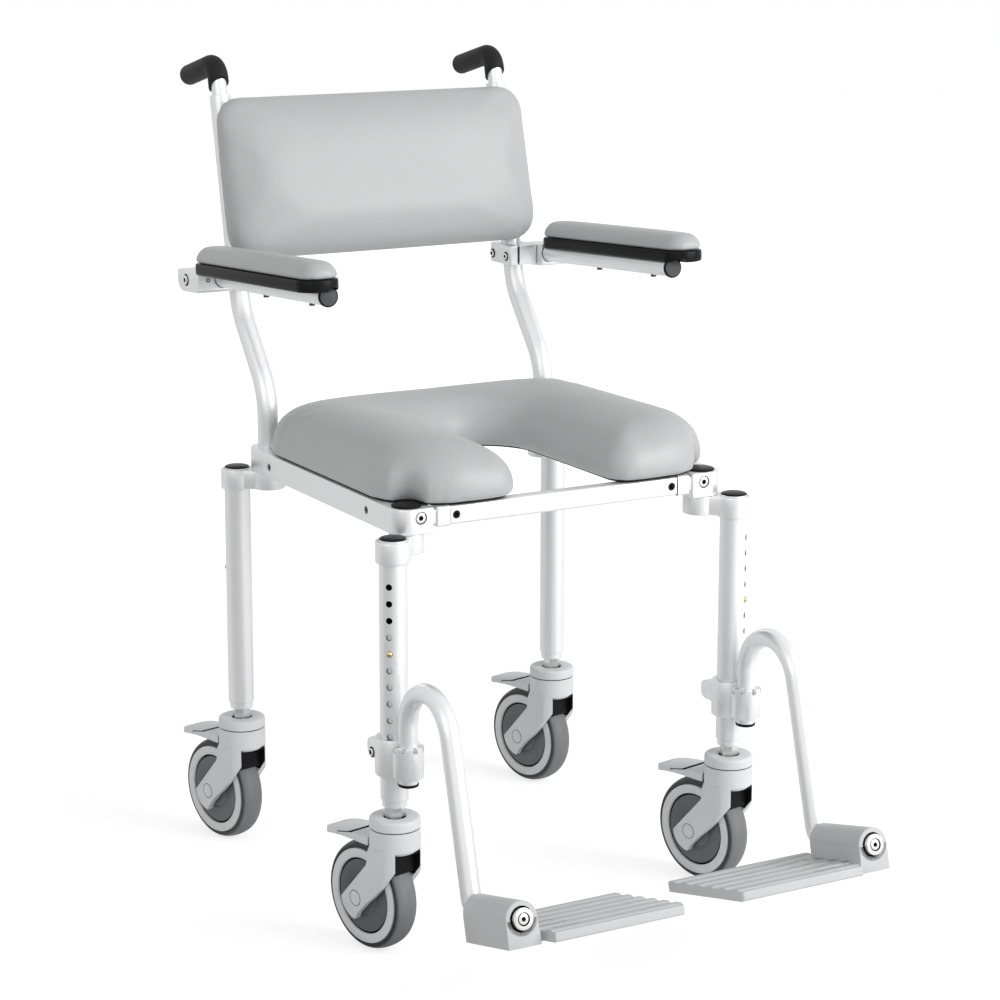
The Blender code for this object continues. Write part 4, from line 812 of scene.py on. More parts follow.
def make_back_cushion():
    wide = CUSHION_HALF_WIDTH
    corners = [(-wide, CUSHION_LOW), (wide, CUSHION_LOW), (wide, CUSHION_HIGH), (-wide, CUSHION_HIGH)]
    behind = BACK_RADIUS + GAP
    tall = CUSHION_HIGH - CUSHION_LOW
    rings = []
    for inset, rise in soft_profile(tuck=0.004, crown=0.075, waist=0.10, fullness=2.7):
        ring = []
        corner = min(CUSHION_CORNER + 1.5 * inset, tall / 2 - 0.002)
        for point in rounded_outline(corners, [corner] * 4, inset=inset + BACK_SLACK):
            lower = (CUSHION_LOW + CUSHION_HIGH - 2 * point.y) / tall
            full = (CUSHION_THICKNESS - BACK_PLATE - BACK_SLACK) * (1 + CUSHION_WEDGE * lower)
            ring.append(back_point(point.x, point.y, behind + BACK_PLATE + full * rise))
        rings.append(ring)
    normal = np.array([0.0, -BACK_UP.y, BACK_UP.x])
    base = np.array(back_point(0, 0, behind + BACK_PLATE + BACK_HELD))
    solid = stuffed(loft(rings), lambda points: (points - base) @ normal < 0, CUSHION_GRID, 3.0,
                    even_cap(BACK_SWELL), relaxing=30)
    piece = show("back_cushion_cover", mesh_of("back_cushion_cover", solid, VINYL), VINYL, "frame", ROOT,
                 ["back_cushion"])

    outline = rounded_outline(corners, [CUSHION_CORNER] * 4, inset=BACK_PLATE_INSET)
    plate = loft([[back_point(point.x, point.y, behind + depth) for point in outline]
                  for depth in (0.0, BACK_PLATE)])
    show("back_cushion_plate", mesh_of("back_cushion_plate", eased(plate, 0.0008, 2), BLACK), BLACK, "frame")
    screw = screw_mesh("back_screw", 0.0050, 0.0030, 0.0022, 0.0018)
    for hand, side in SIDES.items():
        for number, along in enumerate(BACK_SCREWS):
            spot = back_point(side * CORNER_X, along, -BACK_RADIUS + 0.0009)
            show(f"back_screw_{hand}_{number}", screw, STEEL, "frame",
                 facing(*spot, (0.0, BACK_UP.y, -BACK_UP.x)))


def pad_outline(inset):
    left, right = PAD_MIDDLE - PAD_HALF_WIDTH, PAD_MIDDLE + PAD_HALF_WIDTH
    corners = [(left, -PAD_FRONT), (right, -PAD_FRONT), (right, -PAD_REAR), (left, -PAD_REAR)]
    return rounded_outline(corners, [PAD_END] * 4, inset=inset)


def pad_rings(form, low, tall, slack=0.0):
    """Rings of a pad's outline from (inset, rise) pairs."""
    return [[(point.x, point.y, low + tall * rise) for point in pad_outline(inset + slack)]
            for inset, rise in form]


def arm_place():
    return ROOT @ at(0, ARM_Y, ARM_Z) @ Matrix.Rotation(-ARM_TILT, 4, "X")


def make_arm_pads():
    low = BASE_LOW + BASE_THICKNESS + GAP
    rings = pad_rings(PAD_FORM, low, PAD_THICKNESS - PAD_SLACK, PAD_SLACK)
    solid = stuffed(loft(rings), lambda points: points[:, 2] < low + PAD_HELD, PAD_GRID, 4.0,
                    even_cap(PAD_SWELL))
    for hand in SIDES:
        piece = show_hand(hand, "arm_pad_cover", solid, VINYL, "armrest_" + hand, arm_place(), "armrest_pad")


# Casters

def fork_side():
    """Side view of the fork's legs: slanted shin, round end about the axle, straight calf."""
    back = CASTER_TRAIL + FORK_RADIUS
    high = FORK_WINDOW_TOP + back
    axle = Vector(AXLE)
    outline = [Vector((-back, high)), Vector((-back, FORK_FRONT_LOW + CASTER_TRAIL)),
               Vector((-FORK_RADIUS, FORK_FRONT_LOW))]
    outline += [axle + Vector(point) for point in FORK_SHIN]
    outline += arc(axle, FORK_END, math.radians(-86.5), math.radians(-9), 14)
    outline += arc((FORK_CALF + CALF_BEND, FORK_CALF_HEIGHT + 0.004), CALF_BEND, math.radians(180 + 28),
                   math.radians(180), 6)
    outline.append(Vector((FORK_CALF, high)))
    return side_profile(outline, -2 * FORK_HALF_WIDTH, 2 * FORK_HALF_WIDTH)


def fork_head():
    """Swivel head under its dished cap, with a groove below the cap."""
    cap_low = CASTER_TOP - FORK_CAP_HEIGHT
    groove_low = cap_low - FORK_GROOVE
    dish = CASTER_TOP - DISH_DEPTH
    neck = FORK_RADIUS - FORK_GROOVE
    ease = 0.0005
    return turned(
        [(STEM_BORE, CASTER_TOP - STEM_BORE_DEPTH), (STEM_BORE, dish), (DISH_RADIUS, dish),
         (DISH_RADIUS + 0.0005, dish + 0.0014), (DISH_RADIUS + 0.0013, CASTER_TOP - 0.0003),
         (DISH_RADIUS + 0.0030, CASTER_TOP), (CROWN_RADIUS, CASTER_TOP)]
        + [(FORK_RADIUS - inset, CASTER_TOP - drop) for inset, drop in CROWN_EDGE]
        + [(FORK_RADIUS, cap_low + ease), (FORK_RADIUS - ease, cap_low), (neck, cap_low), (neck, groove_low),
           (FORK_RADIUS - ease, groove_low), (FORK_RADIUS, groove_low - ease),
           (FORK_RADIUS, FORK_WINDOW_TOP + LIP), (FORK_RADIUS - LIP, FORK_WINDOW_TOP)])


def fork_legs():
    """Two legs swept back from the head to the axle."""
    skin = FORK_RADIUS - 0.00015
    lean = math.acos(FORK_HALF_WIDTH / skin)
    back = CASTER_TRAIL + FORK_RADIUS
    plan = ([Vector((-FORK_HALF_WIDTH, back)), Vector((FORK_HALF_WIDTH, back))]
            + arc((0, 0), skin, -lean, -math.pi + lean, 30))
    legs = prism(plan, 0.0, FORK_WINDOW_TOP + 0.004)
    legs = shared(legs, fork_side())
    taper = turned([(back + 0.03, 0.0), (back + 0.03, 0.085), (FORK_RADIUS + 0.012, 0.1000),
                    (FORK_RADIUS, FORK_WINDOW_TOP + 0.001), (FORK_RADIUS, CASTER_TOP)])
    legs = shared(legs, taper)
    window = box((-FORK_HALF_GAP, -2 * back, 0.0), (FORK_HALF_GAP, 2 * back, FORK_WINDOW_TOP - 0.0002))
    return eased(cut(legs, window), 0.0009, 2)


def fork_mesh():
    """Swivel head and legs in one moulding, with the axle and its covers."""
    half = TONGUE_HALF_WIDTH + GAP
    tall = TONGUE_HALF_HEIGHT + 0.0015
    pocket = box((-half, PEDAL_BACK - tall, PEDAL_HEIGHT - tall),
                 (half, 2 * FORK_RADIUS, PEDAL_HEIGHT + tall))
    fork = cut(joined(fork_head(), fork_legs()), pocket)
    covers = [shifted(mirrored(along_x(turned(AXLE_COVER, SMALL_ROUND)), side),
                      side * (FORK_HALF_WIDTH - 0.0001), *AXLE) for side in (-1, 1)]
    rings = [along_x(turned(AXLE_RING, SMALL_ROUND, True), (side * FORK_HALF_WIDTH, *AXLE))
             for side in (-1, 1)]
    axle_bar = along_x(rod(AXLE_RADIUS, -FORK_HALF_GAP - 0.001, FORK_HALF_GAP + 0.001), (0, *AXLE))
    cap_low = CASTER_TOP - FORK_CAP_HEIGHT

    def dark(point):
        """Faces of painted shade: the groove under the cap, the floor of the dish and the rings round the
        axle covers.
        """
        reach = math.hypot(point.x, point.y)
        spread = math.hypot(point.y - CASTER_TRAIL, point.z - WHEEL_RADIUS)
        groove = cap_low - FORK_GROOVE < point.z < cap_low and reach < FORK_RADIUS - FORK_GROOVE + 0.0001
        floor = point.z > CASTER_TOP - DISH_DEPTH - 0.0001 and reach < DISH_RADIUS
        ring = 0.0085 < spread < 0.0096 and abs(point.x) > FORK_HALF_WIDTH - 0.00025
        return groove or floor or ring

    whole = together([fork, axle_bar] + covers + rings)
    return mesh_of("caster_fork_finish", whole, CASTER_GREY, PAINTED_SHADE, dark=dark)


def swivel_seat_mesh():
    """Pale disc under the swivel head, showing between the fork's legs."""
    disc = turned([(0.0240, FORK_WINDOW_TOP - SWIVEL_SEAT), (0.0262, FORK_WINDOW_TOP - SWIVEL_SEAT * 0.5),
                   (0.0268, FORK_WINDOW_TOP - 0.0001)])
    middle = box((-SHOE_HALF_WIDTH, -0.03, 0.1), (SHOE_HALF_WIDTH, 0.010, 0.2))
    return mesh_of("swivel_seat", shared(disc, middle), RIM_GREY)


def shoe_mesh():
    """Brake shoe: a hollow black cover over the tyre, between the fork's legs. Its black flanks are also
    painted shade for the dark inside of the fork's window.
    """
    top = FORK_WINDOW_TOP - SWIVEL_SEAT - 0.0001
    block = box((-SHOE_HALF_WIDTH, -0.0222, 0.0960), (SHOE_HALF_WIDTH, FORK_CALF - 0.001, top))
    shoe = shared(block, fork_side())
    tyre = along_x(rod(WHEEL_RADIUS + 0.002, -0.0172, 0.0172, 2 * ROUND), (0, *AXLE))
    front = box((-0.0168, -0.03, 0.09), (0.0168, -0.014, top - 0.0016))
    return mesh_of("brake_shoe", cut(shoe, tyre, front), BLACK)


def pedal_meshes():
    """Arched foot pedal of two mouldings, hollowed round the fork's head, and a sheet of painted shade in the
    seam between them.
    """
    back = PEDAL_REACH - PEDAL_BACK
    near = PEDAL_NEAR - PEDAL_BACK
    under = -2 * TONGUE_HALF_HEIGHT
    top = -0.0005
    shares = [0.35 + 0.65 * step / 14 for step in range(15)]
    lower = [Vector((back * share, under - 0.006 * share ** 4)) for share in shares]
    upper = [Vector((back * share, top - 0.0085 * share ** 2)) for share in reversed(shares)]
    outline = [Vector((near, under))] + lower + upper + [Vector((near, top))]
    wide = PEDAL_HALF_WIDTH
    tread = side_profile(outline, -wide - PAST, wide + PAST)
    plan = rounded_outline([(-wide, near - 0.001), (wide, near - 0.001), (wide, back + 0.0005),
                            (-wide, back + 0.0005)], [0.002, 0.002, 0.014, 0.014], steps=8)
    tread = shared(tread, prism(plan, -PEDAL_REACH, PEDAL_REACH))
    tread = cut(tread, shifted(rod(PEDAL_HOLLOW, -PEDAL_REACH, PEDAL_REACH, 2 * ROUND), y=-PEDAL_BACK))
    eased(tread, 0.0011, 2)
    line = [Vector(point) for point in SEAM]
    band = side_profile(line + [point - SEAM_WIDTH for point in reversed(line)], -2 * wide, 2 * wide)
    middle = Vector((0.0, (near + back) / 2, under / 2))
    core = moved(tread.copy(), at(*middle) @ Matrix.Scale(SEAM_CORE, 4) @ at(*-middle))
    seam = shared(band.copy(), core)
    tongue = eased(box((-TONGUE_HALF_WIDTH, -TONGUE_HALF_HEIGHT, -TONGUE_HALF_HEIGHT),
                       (TONGUE_HALF_WIDTH, PEDAL_HOLLOW - PEDAL_BACK + 0.001, top)), 0.0008, 2)
    pedal = together([cut(tread, band), tongue])
    return mesh_of("brake_pedal_finish", pedal, CASTER_GREY), mesh_of("brake_pedal_seam", seam, PAINTED_SHADE)


def both_faces(side):
    """Close a wheel's half profile with its mirror image."""
    profile = side + [(radius, -height) for radius, height in reversed(side)]
    return along_x(turned(profile, 2 * ROUND, closed=True))


def rim_mesh():
    half = WHEEL_WIDTH / 2
    return mesh_of("wheel_rim", both_faces([
        (HUB_RADIUS, half - 0.0010), (HUB_RADIUS - 0.0003, half - 0.0003), (HUB_RADIUS - 0.0010, half),
        (DISC_RADIUS + 0.0023, half), (DISC_RADIUS + 0.0015, half - 0.0003),
        (DISC_RADIUS + 0.0011, half - 0.0009), (DISC_RADIUS + 0.0010, half - 0.0045)]), RIM_GREY)


def disc_mesh():
    face = WHEEL_WIDTH / 2 - 0.0018
    return mesh_of("wheel_disc", both_faces([
        (DISC_RADIUS - 0.0011, face - 0.0020), (DISC_RADIUS - 0.0012, face - 0.0005),
        (DISC_RADIUS - 0.0017, face), (0.0230, face), (0.0222, face - 0.0004), (0.0214, face),
        (0.0053, face)]), DISC_GREY)


def groove_mesh():
    """Painted shade on the floor of the groove between disc and rim."""
    floor = WHEEL_WIDTH / 2 - 0.0028
    profile = [(DISC_RADIUS + 0.0015, floor), (DISC_RADIUS - 0.0016, floor)]
    return mesh_of("wheel_groove", both_faces(profile), PAINTED_SHADE)


def tyre_mesh():
    edge = WHEEL_WIDTH / 2 - 0.0012
    shoulder = 0.0568
    side = []
    for step in range(15):
        turn = math.pi / 2 * (step + 0.4) / 14.4
        side.append((shoulder + (WHEEL_RADIUS - shoulder) * math.cos(turn) ** 0.8, edge * math.sin(turn)))
    side += [(HUB_RADIUS + 0.0010, edge), (HUB_RADIUS + GAP, edge - 0.0008)]
    return mesh_of("wheel_tyre_finish", both_faces(side), TYRE)


# Legs

def leg_tube_mesh():
    """Outer leg with its row of lock holes towards +X; its bore and the holes' walls take painted shade."""
    inner = LEG_RADIUS - LEG_WALL
    ease = 0.0004
    tube = turned([(inner, LEG_BOTTOM), (LEG_RADIUS - ease, LEG_BOTTOM), (LEG_RADIUS, LEG_BOTTOM + ease),
                   (LEG_RADIUS, LEG_TOP - ease), (LEG_RADIUS - ease, LEG_TOP), (inner, LEG_TOP)], closed=True)
    holes = [along_x(rod(HOLE_RADIUS, inner * 0.6, LEG_RADIUS * 1.2), (0, 0, HOLE_TOP - HOLE_PITCH * index))
             for index in range(HOLE_COUNT)]
    tube = cut(tube, together(holes))
    return mesh_of("leg_tube_finish", tube, ALUMINIUM, PAINTED_SHADE,
                   dark=lambda point: math.hypot(point.x, point.y) < LEG_RADIUS - 0.0004)


def inner_leg_mesh():
    outer = LEG_RADIUS - LEG_WALL - GAP
    inner = outer - INNER_WALL
    ease = 0.0006
    tube = turned([(outer - 0.003, INNER_BOTTOM), (outer - ease, INNER_BOTTOM), (outer, INNER_BOTTOM + ease),
                   (outer, INNER_TOP), (inner, INNER_TOP), (inner, INNER_BOTTOM + 0.02)])
    return mesh_of("leg_extension_finish", tube, ALUMINIUM)


def stem_mesh():
    across = STEM_FLATS / math.sqrt(3)
    low = CASTER_TOP - DISH_DEPTH + GAP
    stem = turned([(across * 0.90, low), (across, low + 0.0009), (across, INNER_BOTTOM + 0.0010)], 6)
    return mesh_of("caster_stem", stem, STEEL)


def button_mesh():
    """Domed snap button about the leg's axis, pointing to +X."""
    pin = HOLE_RADIUS - GAP
    shoulder = LEG_RADIUS + BUTTON_PROUD - BUTTON_DOME
    profile = [(pin, LEG_RADIUS - 0.004), (pin, shoulder)]
    for turn in quarter(7):
        profile.append((pin * max(math.cos(turn), 0.05), shoulder + BUTTON_DOME * math.sin(turn)))
    return mesh_of("height_button_finish", along_x(turned(profile, SMALL_ROUND)), BRASS)


def bracket_mesh(name, side_x, side_y):
    """Link under a frame corner that carries the leg in a round collar, a little deeper than the link."""
    low = BRACKET_TOP - BRACKET_HEIGHT
    reach = Vector((LEG_X - CORNER_X, LEG_Y - CORNER_Y))
    across = Vector((-reach.y, reach.x)).normalized() * LINK_HALF_WIDTH
    web = prism([-across, reach - across, reach + across, across], low + LINK_RISE, BRACKET_TOP)
    near = rod(CORNER_RADIUS - 0.001, low + LINK_RISE, BRACKET_TOP, ROUND)
    collar = rod(LEG_RADIUS + GAP + COLLAR_WALL, low, BRACKET_TOP, ROUND)
    link = joined(eased(near, LINK_EASE), eased(web, LINK_EASE), shifted(eased(collar, LINK_EASE), *reach))
    bore = rod(LEG_RADIUS + GAP, low - PAST, BRACKET_TOP + PAST, ROUND)
    link = cut(link, shifted(bore, *reach))
    moved(link, Matrix.Diagonal((side_x, side_y, 1, 1)))
    return mesh_of(name, link, ALUMINIUM)


def make_legs():
    fork, swivel_seat, shoe = fork_mesh(), swivel_seat_mesh(), shoe_mesh()
    pedal, seam = pedal_meshes()
    rim, disc, groove, tyre = rim_mesh(), disc_mesh(), groove_mesh(), tyre_mesh()
    tube, inner, stem, button = leg_tube_mesh(), inner_leg_mesh(), stem_mesh(), button_mesh()
    plug = mesh_of("leg_plug", dome_solid(0.0152, 0.0034, 0.0010), BLACK)
    for corner, (side_x, side_y) in CORNERS.items():
        bracket = bracket_mesh("leg_bracket_finish_" + corner, side_x, side_y)
        frame_corner = ROOT @ at(side_x * CORNER_X, side_y * CORNER_Y)
        leg = ROOT @ at(side_x * LEG_X, side_y * LEG_Y)
        outward = leg @ Matrix.Rotation(math.atan2(side_y, side_x), 4, "Z")
        lock_hole = outward @ at(z=BUTTON_LEVEL)
        caster = leg @ Matrix.Rotation(CASTER_YAW, 4, "Z")
        pin = caster @ at(0, PEDAL_BACK, PEDAL_HEIGHT)
        wheel = caster @ at(0, *AXLE)
        for word, mesh, finish, body, place, node in (
                ("leg_bracket_finish", bracket, ALUMINIUM, "frame", frame_corner, "leg_bracket"),
                ("leg_tube_finish", tube, ALUMINIUM, "frame", outward, "leg_tube"),
                ("leg_plug", plug, BLACK, "frame", leg @ at(z=LEG_TOP - 0.0004), None),
                ("leg_extension_finish", inner, ALUMINIUM, "leg", outward, "leg_extension"),
                ("caster_stem", stem, STEEL, "leg", outward, None),
                ("height_button_finish", button, BRASS, "button", lock_hole, "height_button"),
                ("caster_fork_finish", fork, CASTER_GREY, "caster", caster, "caster_fork"),
                ("swivel_seat", swivel_seat, RIM_GREY, "caster", caster, None),
                ("brake_shoe", shoe, BLACK, "caster", caster, None),
                ("brake_pedal_finish", pedal, CASTER_GREY, "pedal", pin, "brake_pedal"),
                ("brake_pedal_seam", seam, PAINTED_SHADE, "pedal", pin, None),
                ("wheel_disc", disc, DISC_GREY, "wheel", wheel, "wheel_hub"),
                ("wheel_rim", rim, RIM_GREY, "wheel", wheel, None),
                ("wheel_groove", groove, PAINTED_SHADE, "wheel", wheel, None),
                ("wheel_tyre_finish", tyre, TYRE, "wheel", wheel, "wheel_tyre")):
            carrier = body if body == "frame" else f"{body}_{corner}"
            show_one(corner, word, mesh, finish, carrier, place, node)


# Seat frame

def drill(x, y, z, radius, depth, direction):
    """A cutter for a round hole sunk into a face, against its outward direction."""
    return moved(rod(radius, -depth, PAST), at(x, y, z) @ pointing(direction))


def side_rail_solid():
    outer = CORNER_X + CORNER_RADIUS
    inner = outer - RAIL_WIDTH
    ear = CORNER_X - EAR_REACH
    ear_deep = FRONT_FACE - BAR_DEPTH - EAR_WALL
    slope = ear_deep - EAR_SLOPE
    plan = rounded_outline(
        [(outer, -FRONT_FACE), (outer, FRONT_FACE), (ear, FRONT_FACE), (ear, ear_deep), (inner, slope),
         (inner, -slope), (ear, -ear_deep), (ear, -FRONT_FACE)],
        [0.020, 0.020, 0.002, EAR_WALL, EAR_SLOPE, EAR_SLOPE, EAR_WALL, 0.002])
    rail = eased(prism(plan, RAIL_LOW, FRAME_TOP), 0.0009, 3)
    holes = [drill(outer, y, z, 0.0046, 0.0035, (1, 0, 0)) for y, z in RAIL_SCREWS]
    holes += [drill(CORNER_SCREW_X, way * FRONT_FACE, CORNER_SCREW_Z, 0.0073, 0.0040, (0, way, 0))
              for way in (-1, 1)]
    line = box((outer - 0.0004, 0.1553, RAIL_LOW - PAST), (outer + PAST, 0.1559, FRAME_TOP + PAST))
    return cut(rail, together(holes), line)


def bar_mesh(facing_y):
    """Front or rear bar: a rounded bar between sleeved ends, a tenon past each, screws sunk next to them."""
    half = CORNER_X - EAR_REACH - BAR_GAP
    middle_y = facing_y * (FRONT_FACE - BAR_DEPTH / 2)

    def section(shrink):
        deep, tall = BAR_DEPTH / 2 - shrink, BAR_HEIGHT / 2 - shrink
        corners = [(-deep, -tall), (deep, -tall), (deep, tall), (-deep, tall)]
        return rounded_outline(corners, [BAR_EDGE] * 4, steps=6)

    ease = 0.0005
    sleeve = half - SLEEVE_LENGTH
    joint = 0.0007
    stations = [(half + BAR_GAP + 0.003, TENON_STEP), (half, TENON_STEP), (half, ease), (half - ease, 0.0),
                (sleeve + ease / 2, 0.0), (sleeve, ease / 2), (sleeve, SLEEVE_STEP + joint),
                (sleeve - joint, SLEEVE_STEP + joint), (sleeve - joint, SLEEVE_STEP)]
    stations = [(-x, shrink) for x, shrink in stations] + [(x, shrink) for x, shrink in reversed(stations)]
    rings = [[(x, middle_y + point.x, BAR_MIDDLE + point.y) for point in section(shrink)]
             for x, shrink in stations]
    holes = [drill(side * BAR_SCREW_X, facing_y * FRONT_FACE, BAR_SCREW_Z, 0.0048, 0.0045, (0, facing_y, 0))
             for side in (-1, 1)]
    bar = cut(loft(rings), together(holes))
    # Faces at the groove by each sleeve's end take painted shade
    return mesh_of("cross_bar", bar, ALUMINIUM, PAINTED_SHADE, dark=lambda point: abs(abs(point.x) - sleeve) < 0.0008)


def make_frame():
    bar_screw = screw_mesh("bar_screw", 0.0045, 0.0026, 0.0020, 0.0014, BLACK)
    rail_screw = screw_mesh("rail_screw", 0.0043, 0.0024, 0.0020, 0.0014, CAP_GREY)
    corner_screw = screw_mesh("corner_screw", 0.0062, 0.0034, 0.0027, 0.0020)
    corner_ring = ring_mesh("corner_screw_ring", 0.0072, 0.0061, 0.0018)
    cap = mesh_of("corner_cap", dome_solid(0.0168, 0.0036, 0.0014), BLACK)
    for facing_y, word in ((-1, "front"), (1, "rear")):
        ahead = (0, facing_y, 0)
        show(word + "_bar_finish", bar_mesh(facing_y), ALUMINIUM, "frame", ROOT, [word + "_bar"])
        for hand, side in SIDES.items():
            spot = facing(side * BAR_SCREW_X, facing_y * (FRONT_FACE - 0.0044), BAR_SCREW_Z, ahead)
            show_one(hand, word + "_bar_screw", bar_screw, BLACK, "frame", spot)
            spot = facing(side * CORNER_SCREW_X, facing_y * (FRONT_FACE - 0.0039), CORNER_SCREW_Z, ahead)
            show_one(hand, word + "_corner_screw", corner_screw, STEEL, "frame", spot)
            show_one(hand, word + "_corner_screw_ring", corner_ring, PAINTED_SHADE, "frame", spot)
    rail = side_rail_solid()
    for hand, side in SIDES.items():
        show_hand(hand, "side_rail_finish", rail, ALUMINIUM, "frame", ROOT, "side_rail")
        show_one(hand, "corner_cap", cap, BLACK, "frame", ROOT @ at(side * CORNER_X, -CORNER_Y, FRAME_TOP))
        for number, (y, z) in enumerate(RAIL_SCREWS):
            show(f"rail_screw_{hand}_{number}", rail_screw, CAP_GREY, "frame",
                 facing(side * (CORNER_X + CORNER_RADIUS - 0.0034), y, z, (side, 0, 0)))


# Back

def handle_path():
    return rounded_path([BACK_TOP - BACK_UP * 0.002, HANDLE_CORNER, HANDLE_END], [HANDLE_BEND])


def grip_solid():
    """Moulded grip over the handle tube: slanted rim, rounded end."""
    handle = handle_path()
    lead = (handle[1] - handle[0]).normalized()
    tail = (handle[-1] - handle[-2]).normalized()
    path = [handle[0] + lead * 0.0005] + handle[1:]
    radii = [GRIP_RADIUS] * len(path)
    for turn in quarter(7):
        path.append(handle[-1] + tail * GRIP_END * math.sin(turn))
        radii.append(GRIP_RADIUS * (0.30 + 0.70 * math.cos(turn) ** 0.8))
    rim = handle[0] + lead * GRIP_RIM_RISE
    reach = 4 * GRIP_RADIUS
    below = box((-reach, -reach, -reach), (reach, reach, 0.0))
    slant = at(0.0, rim.x, rim.y) @ Matrix.Rotation(-math.radians(45), 4, "X")
    return eased(cut(swept(path, radii), moved(below, slant)), 0.0006, 2)


def make_uprights():
    path = rounded_path([(CORNER_Y, BACK_FOOT), (CORNER_Y, BACK_BEND_LOW), BACK_BEND_HIGH,
                         BACK_TOP - BACK_UP * 0.0005, BACK_TOP], [BACK_BEND_RADIUS, BACK_BEND_RADIUS, 0.001])
    tube = swept(path, [BACK_RADIUS] * (len(path) - 1) + [BACK_RADIUS - 0.0005])
    handle = handle_path()
    handle_tube = swept(handle, [HANDLE_RADIUS] * len(handle))
    tubes = mesh_of("back_tube_finish", together([tube, handle_tube]), ALUMINIUM)
    grip = mesh_of("push_grip_finish", grip_solid(), GRIP)
    for hand, side in SIDES.items():
        foot = ROOT @ at(side * CORNER_X)
        show_one(hand, "back_tube_finish", tubes, ALUMINIUM, "frame", foot, "back_tube")
        show_one(hand, "push_grip_finish", grip, GRIP, "frame", foot, "push_grip")


# Armrests

def arm_tube_lay():
    """Lay a solid made along Z along the arm tube; what was below the origin reaches forward."""
    return at(ARM_X, 0, -FACE_GAP / 2) @ Matrix.Rotation(-math.pi / 2, 4, "X")


def arm_clamp_solids():
    """Clamp on an upright, the hinge washer on its side and a lining in its slit; washer and lining are
    painted shade, dark in the gap to the hinge block and in the slit.
    """
    low, high = CLAMP_MIDDLE - CLAMP_HALF_DEPTH, CLAMP_MIDDLE + CLAMP_HALF_DEPTH
    left, right = CORNER_X - CLAMP_INBOARD, CORNER_X + CLAMP_OUTBOARD
    plan = rounded_outline([(left, low), (right, low), (right, high), (left, high)], [0.003] * 4, steps=6)
    block = eased(prism(plan, ARM_Z - CLAMP_HALF_HEIGHT, ARM_Z + CLAMP_HALF_HEIGHT), 0.0010, 3)
    slit, half = CORNER_X - CLAMP_SLIT, CLAMP_SLIT_WIDTH / 2
    block = cut(block, box((slit - half, low - PAST, 0.0), (slit + half, low + 0.008, 1.0)))
    washer = along_x(rod(0.0100, right - 0.001, right + 0.0008), (0, ARM_Y, ARM_Z))
    lining = box((slit - 0.001, low + 0.0025, ARM_Z - 0.0105), (slit + 0.001, low + 0.0075, ARM_Z + 0.0105))
    return block, washer, lining


def arm_block_solid():
    outline = rounded_outline(
        [(-BLOCK_FRONT, -BLOCK_DEPTH), (BLOCK_REAR, -BLOCK_DEPTH), (BLOCK_REAR, ARM_TUBE_RADIUS),
         (-BLOCK_FRONT, ARM_TUBE_RADIUS)], [0.004, 0.016, 0.006, 0.002])
    return eased(side_profile(outline, BLOCK_INNER, BLOCK_INNER + BLOCK_WIDTH), 0.0012, 3)


def arm_tube_solid():
    return moved(turned([(ARM_TUBE_RADIUS - 0.0006, -ARM_REACH), (ARM_TUBE_RADIUS, -ARM_REACH + 0.0006),
                         (ARM_TUBE_RADIUS, -BLOCK_FRONT + 0.002)]), arm_tube_lay())


def arm_base_solid():
    fit = ARM_TUBE_RADIUS + GAP
    groove = moved(rod(fit, -2 * ARM_REACH, 0.0, ROUND), arm_tube_lay())
    step = box((BLOCK_INNER - 2 * PAD_HALF_WIDTH, -BLOCK_FRONT - GAP, -ARM_TUBE_RADIUS),
               (BLOCK_INNER + BLOCK_WIDTH + GAP, 0.0, fit))
    return cut(loft(pad_rings(BASE_FORM, BASE_LOW, BASE_THICKNESS)), groove, step)


def arm_end_solid(profile):
    """A turned piece at the front end of the arm tube, from radii and distances behind the tube's end."""
    return moved(turned([(radius, behind - ARM_REACH) for radius, behind in profile]), arm_tube_lay())


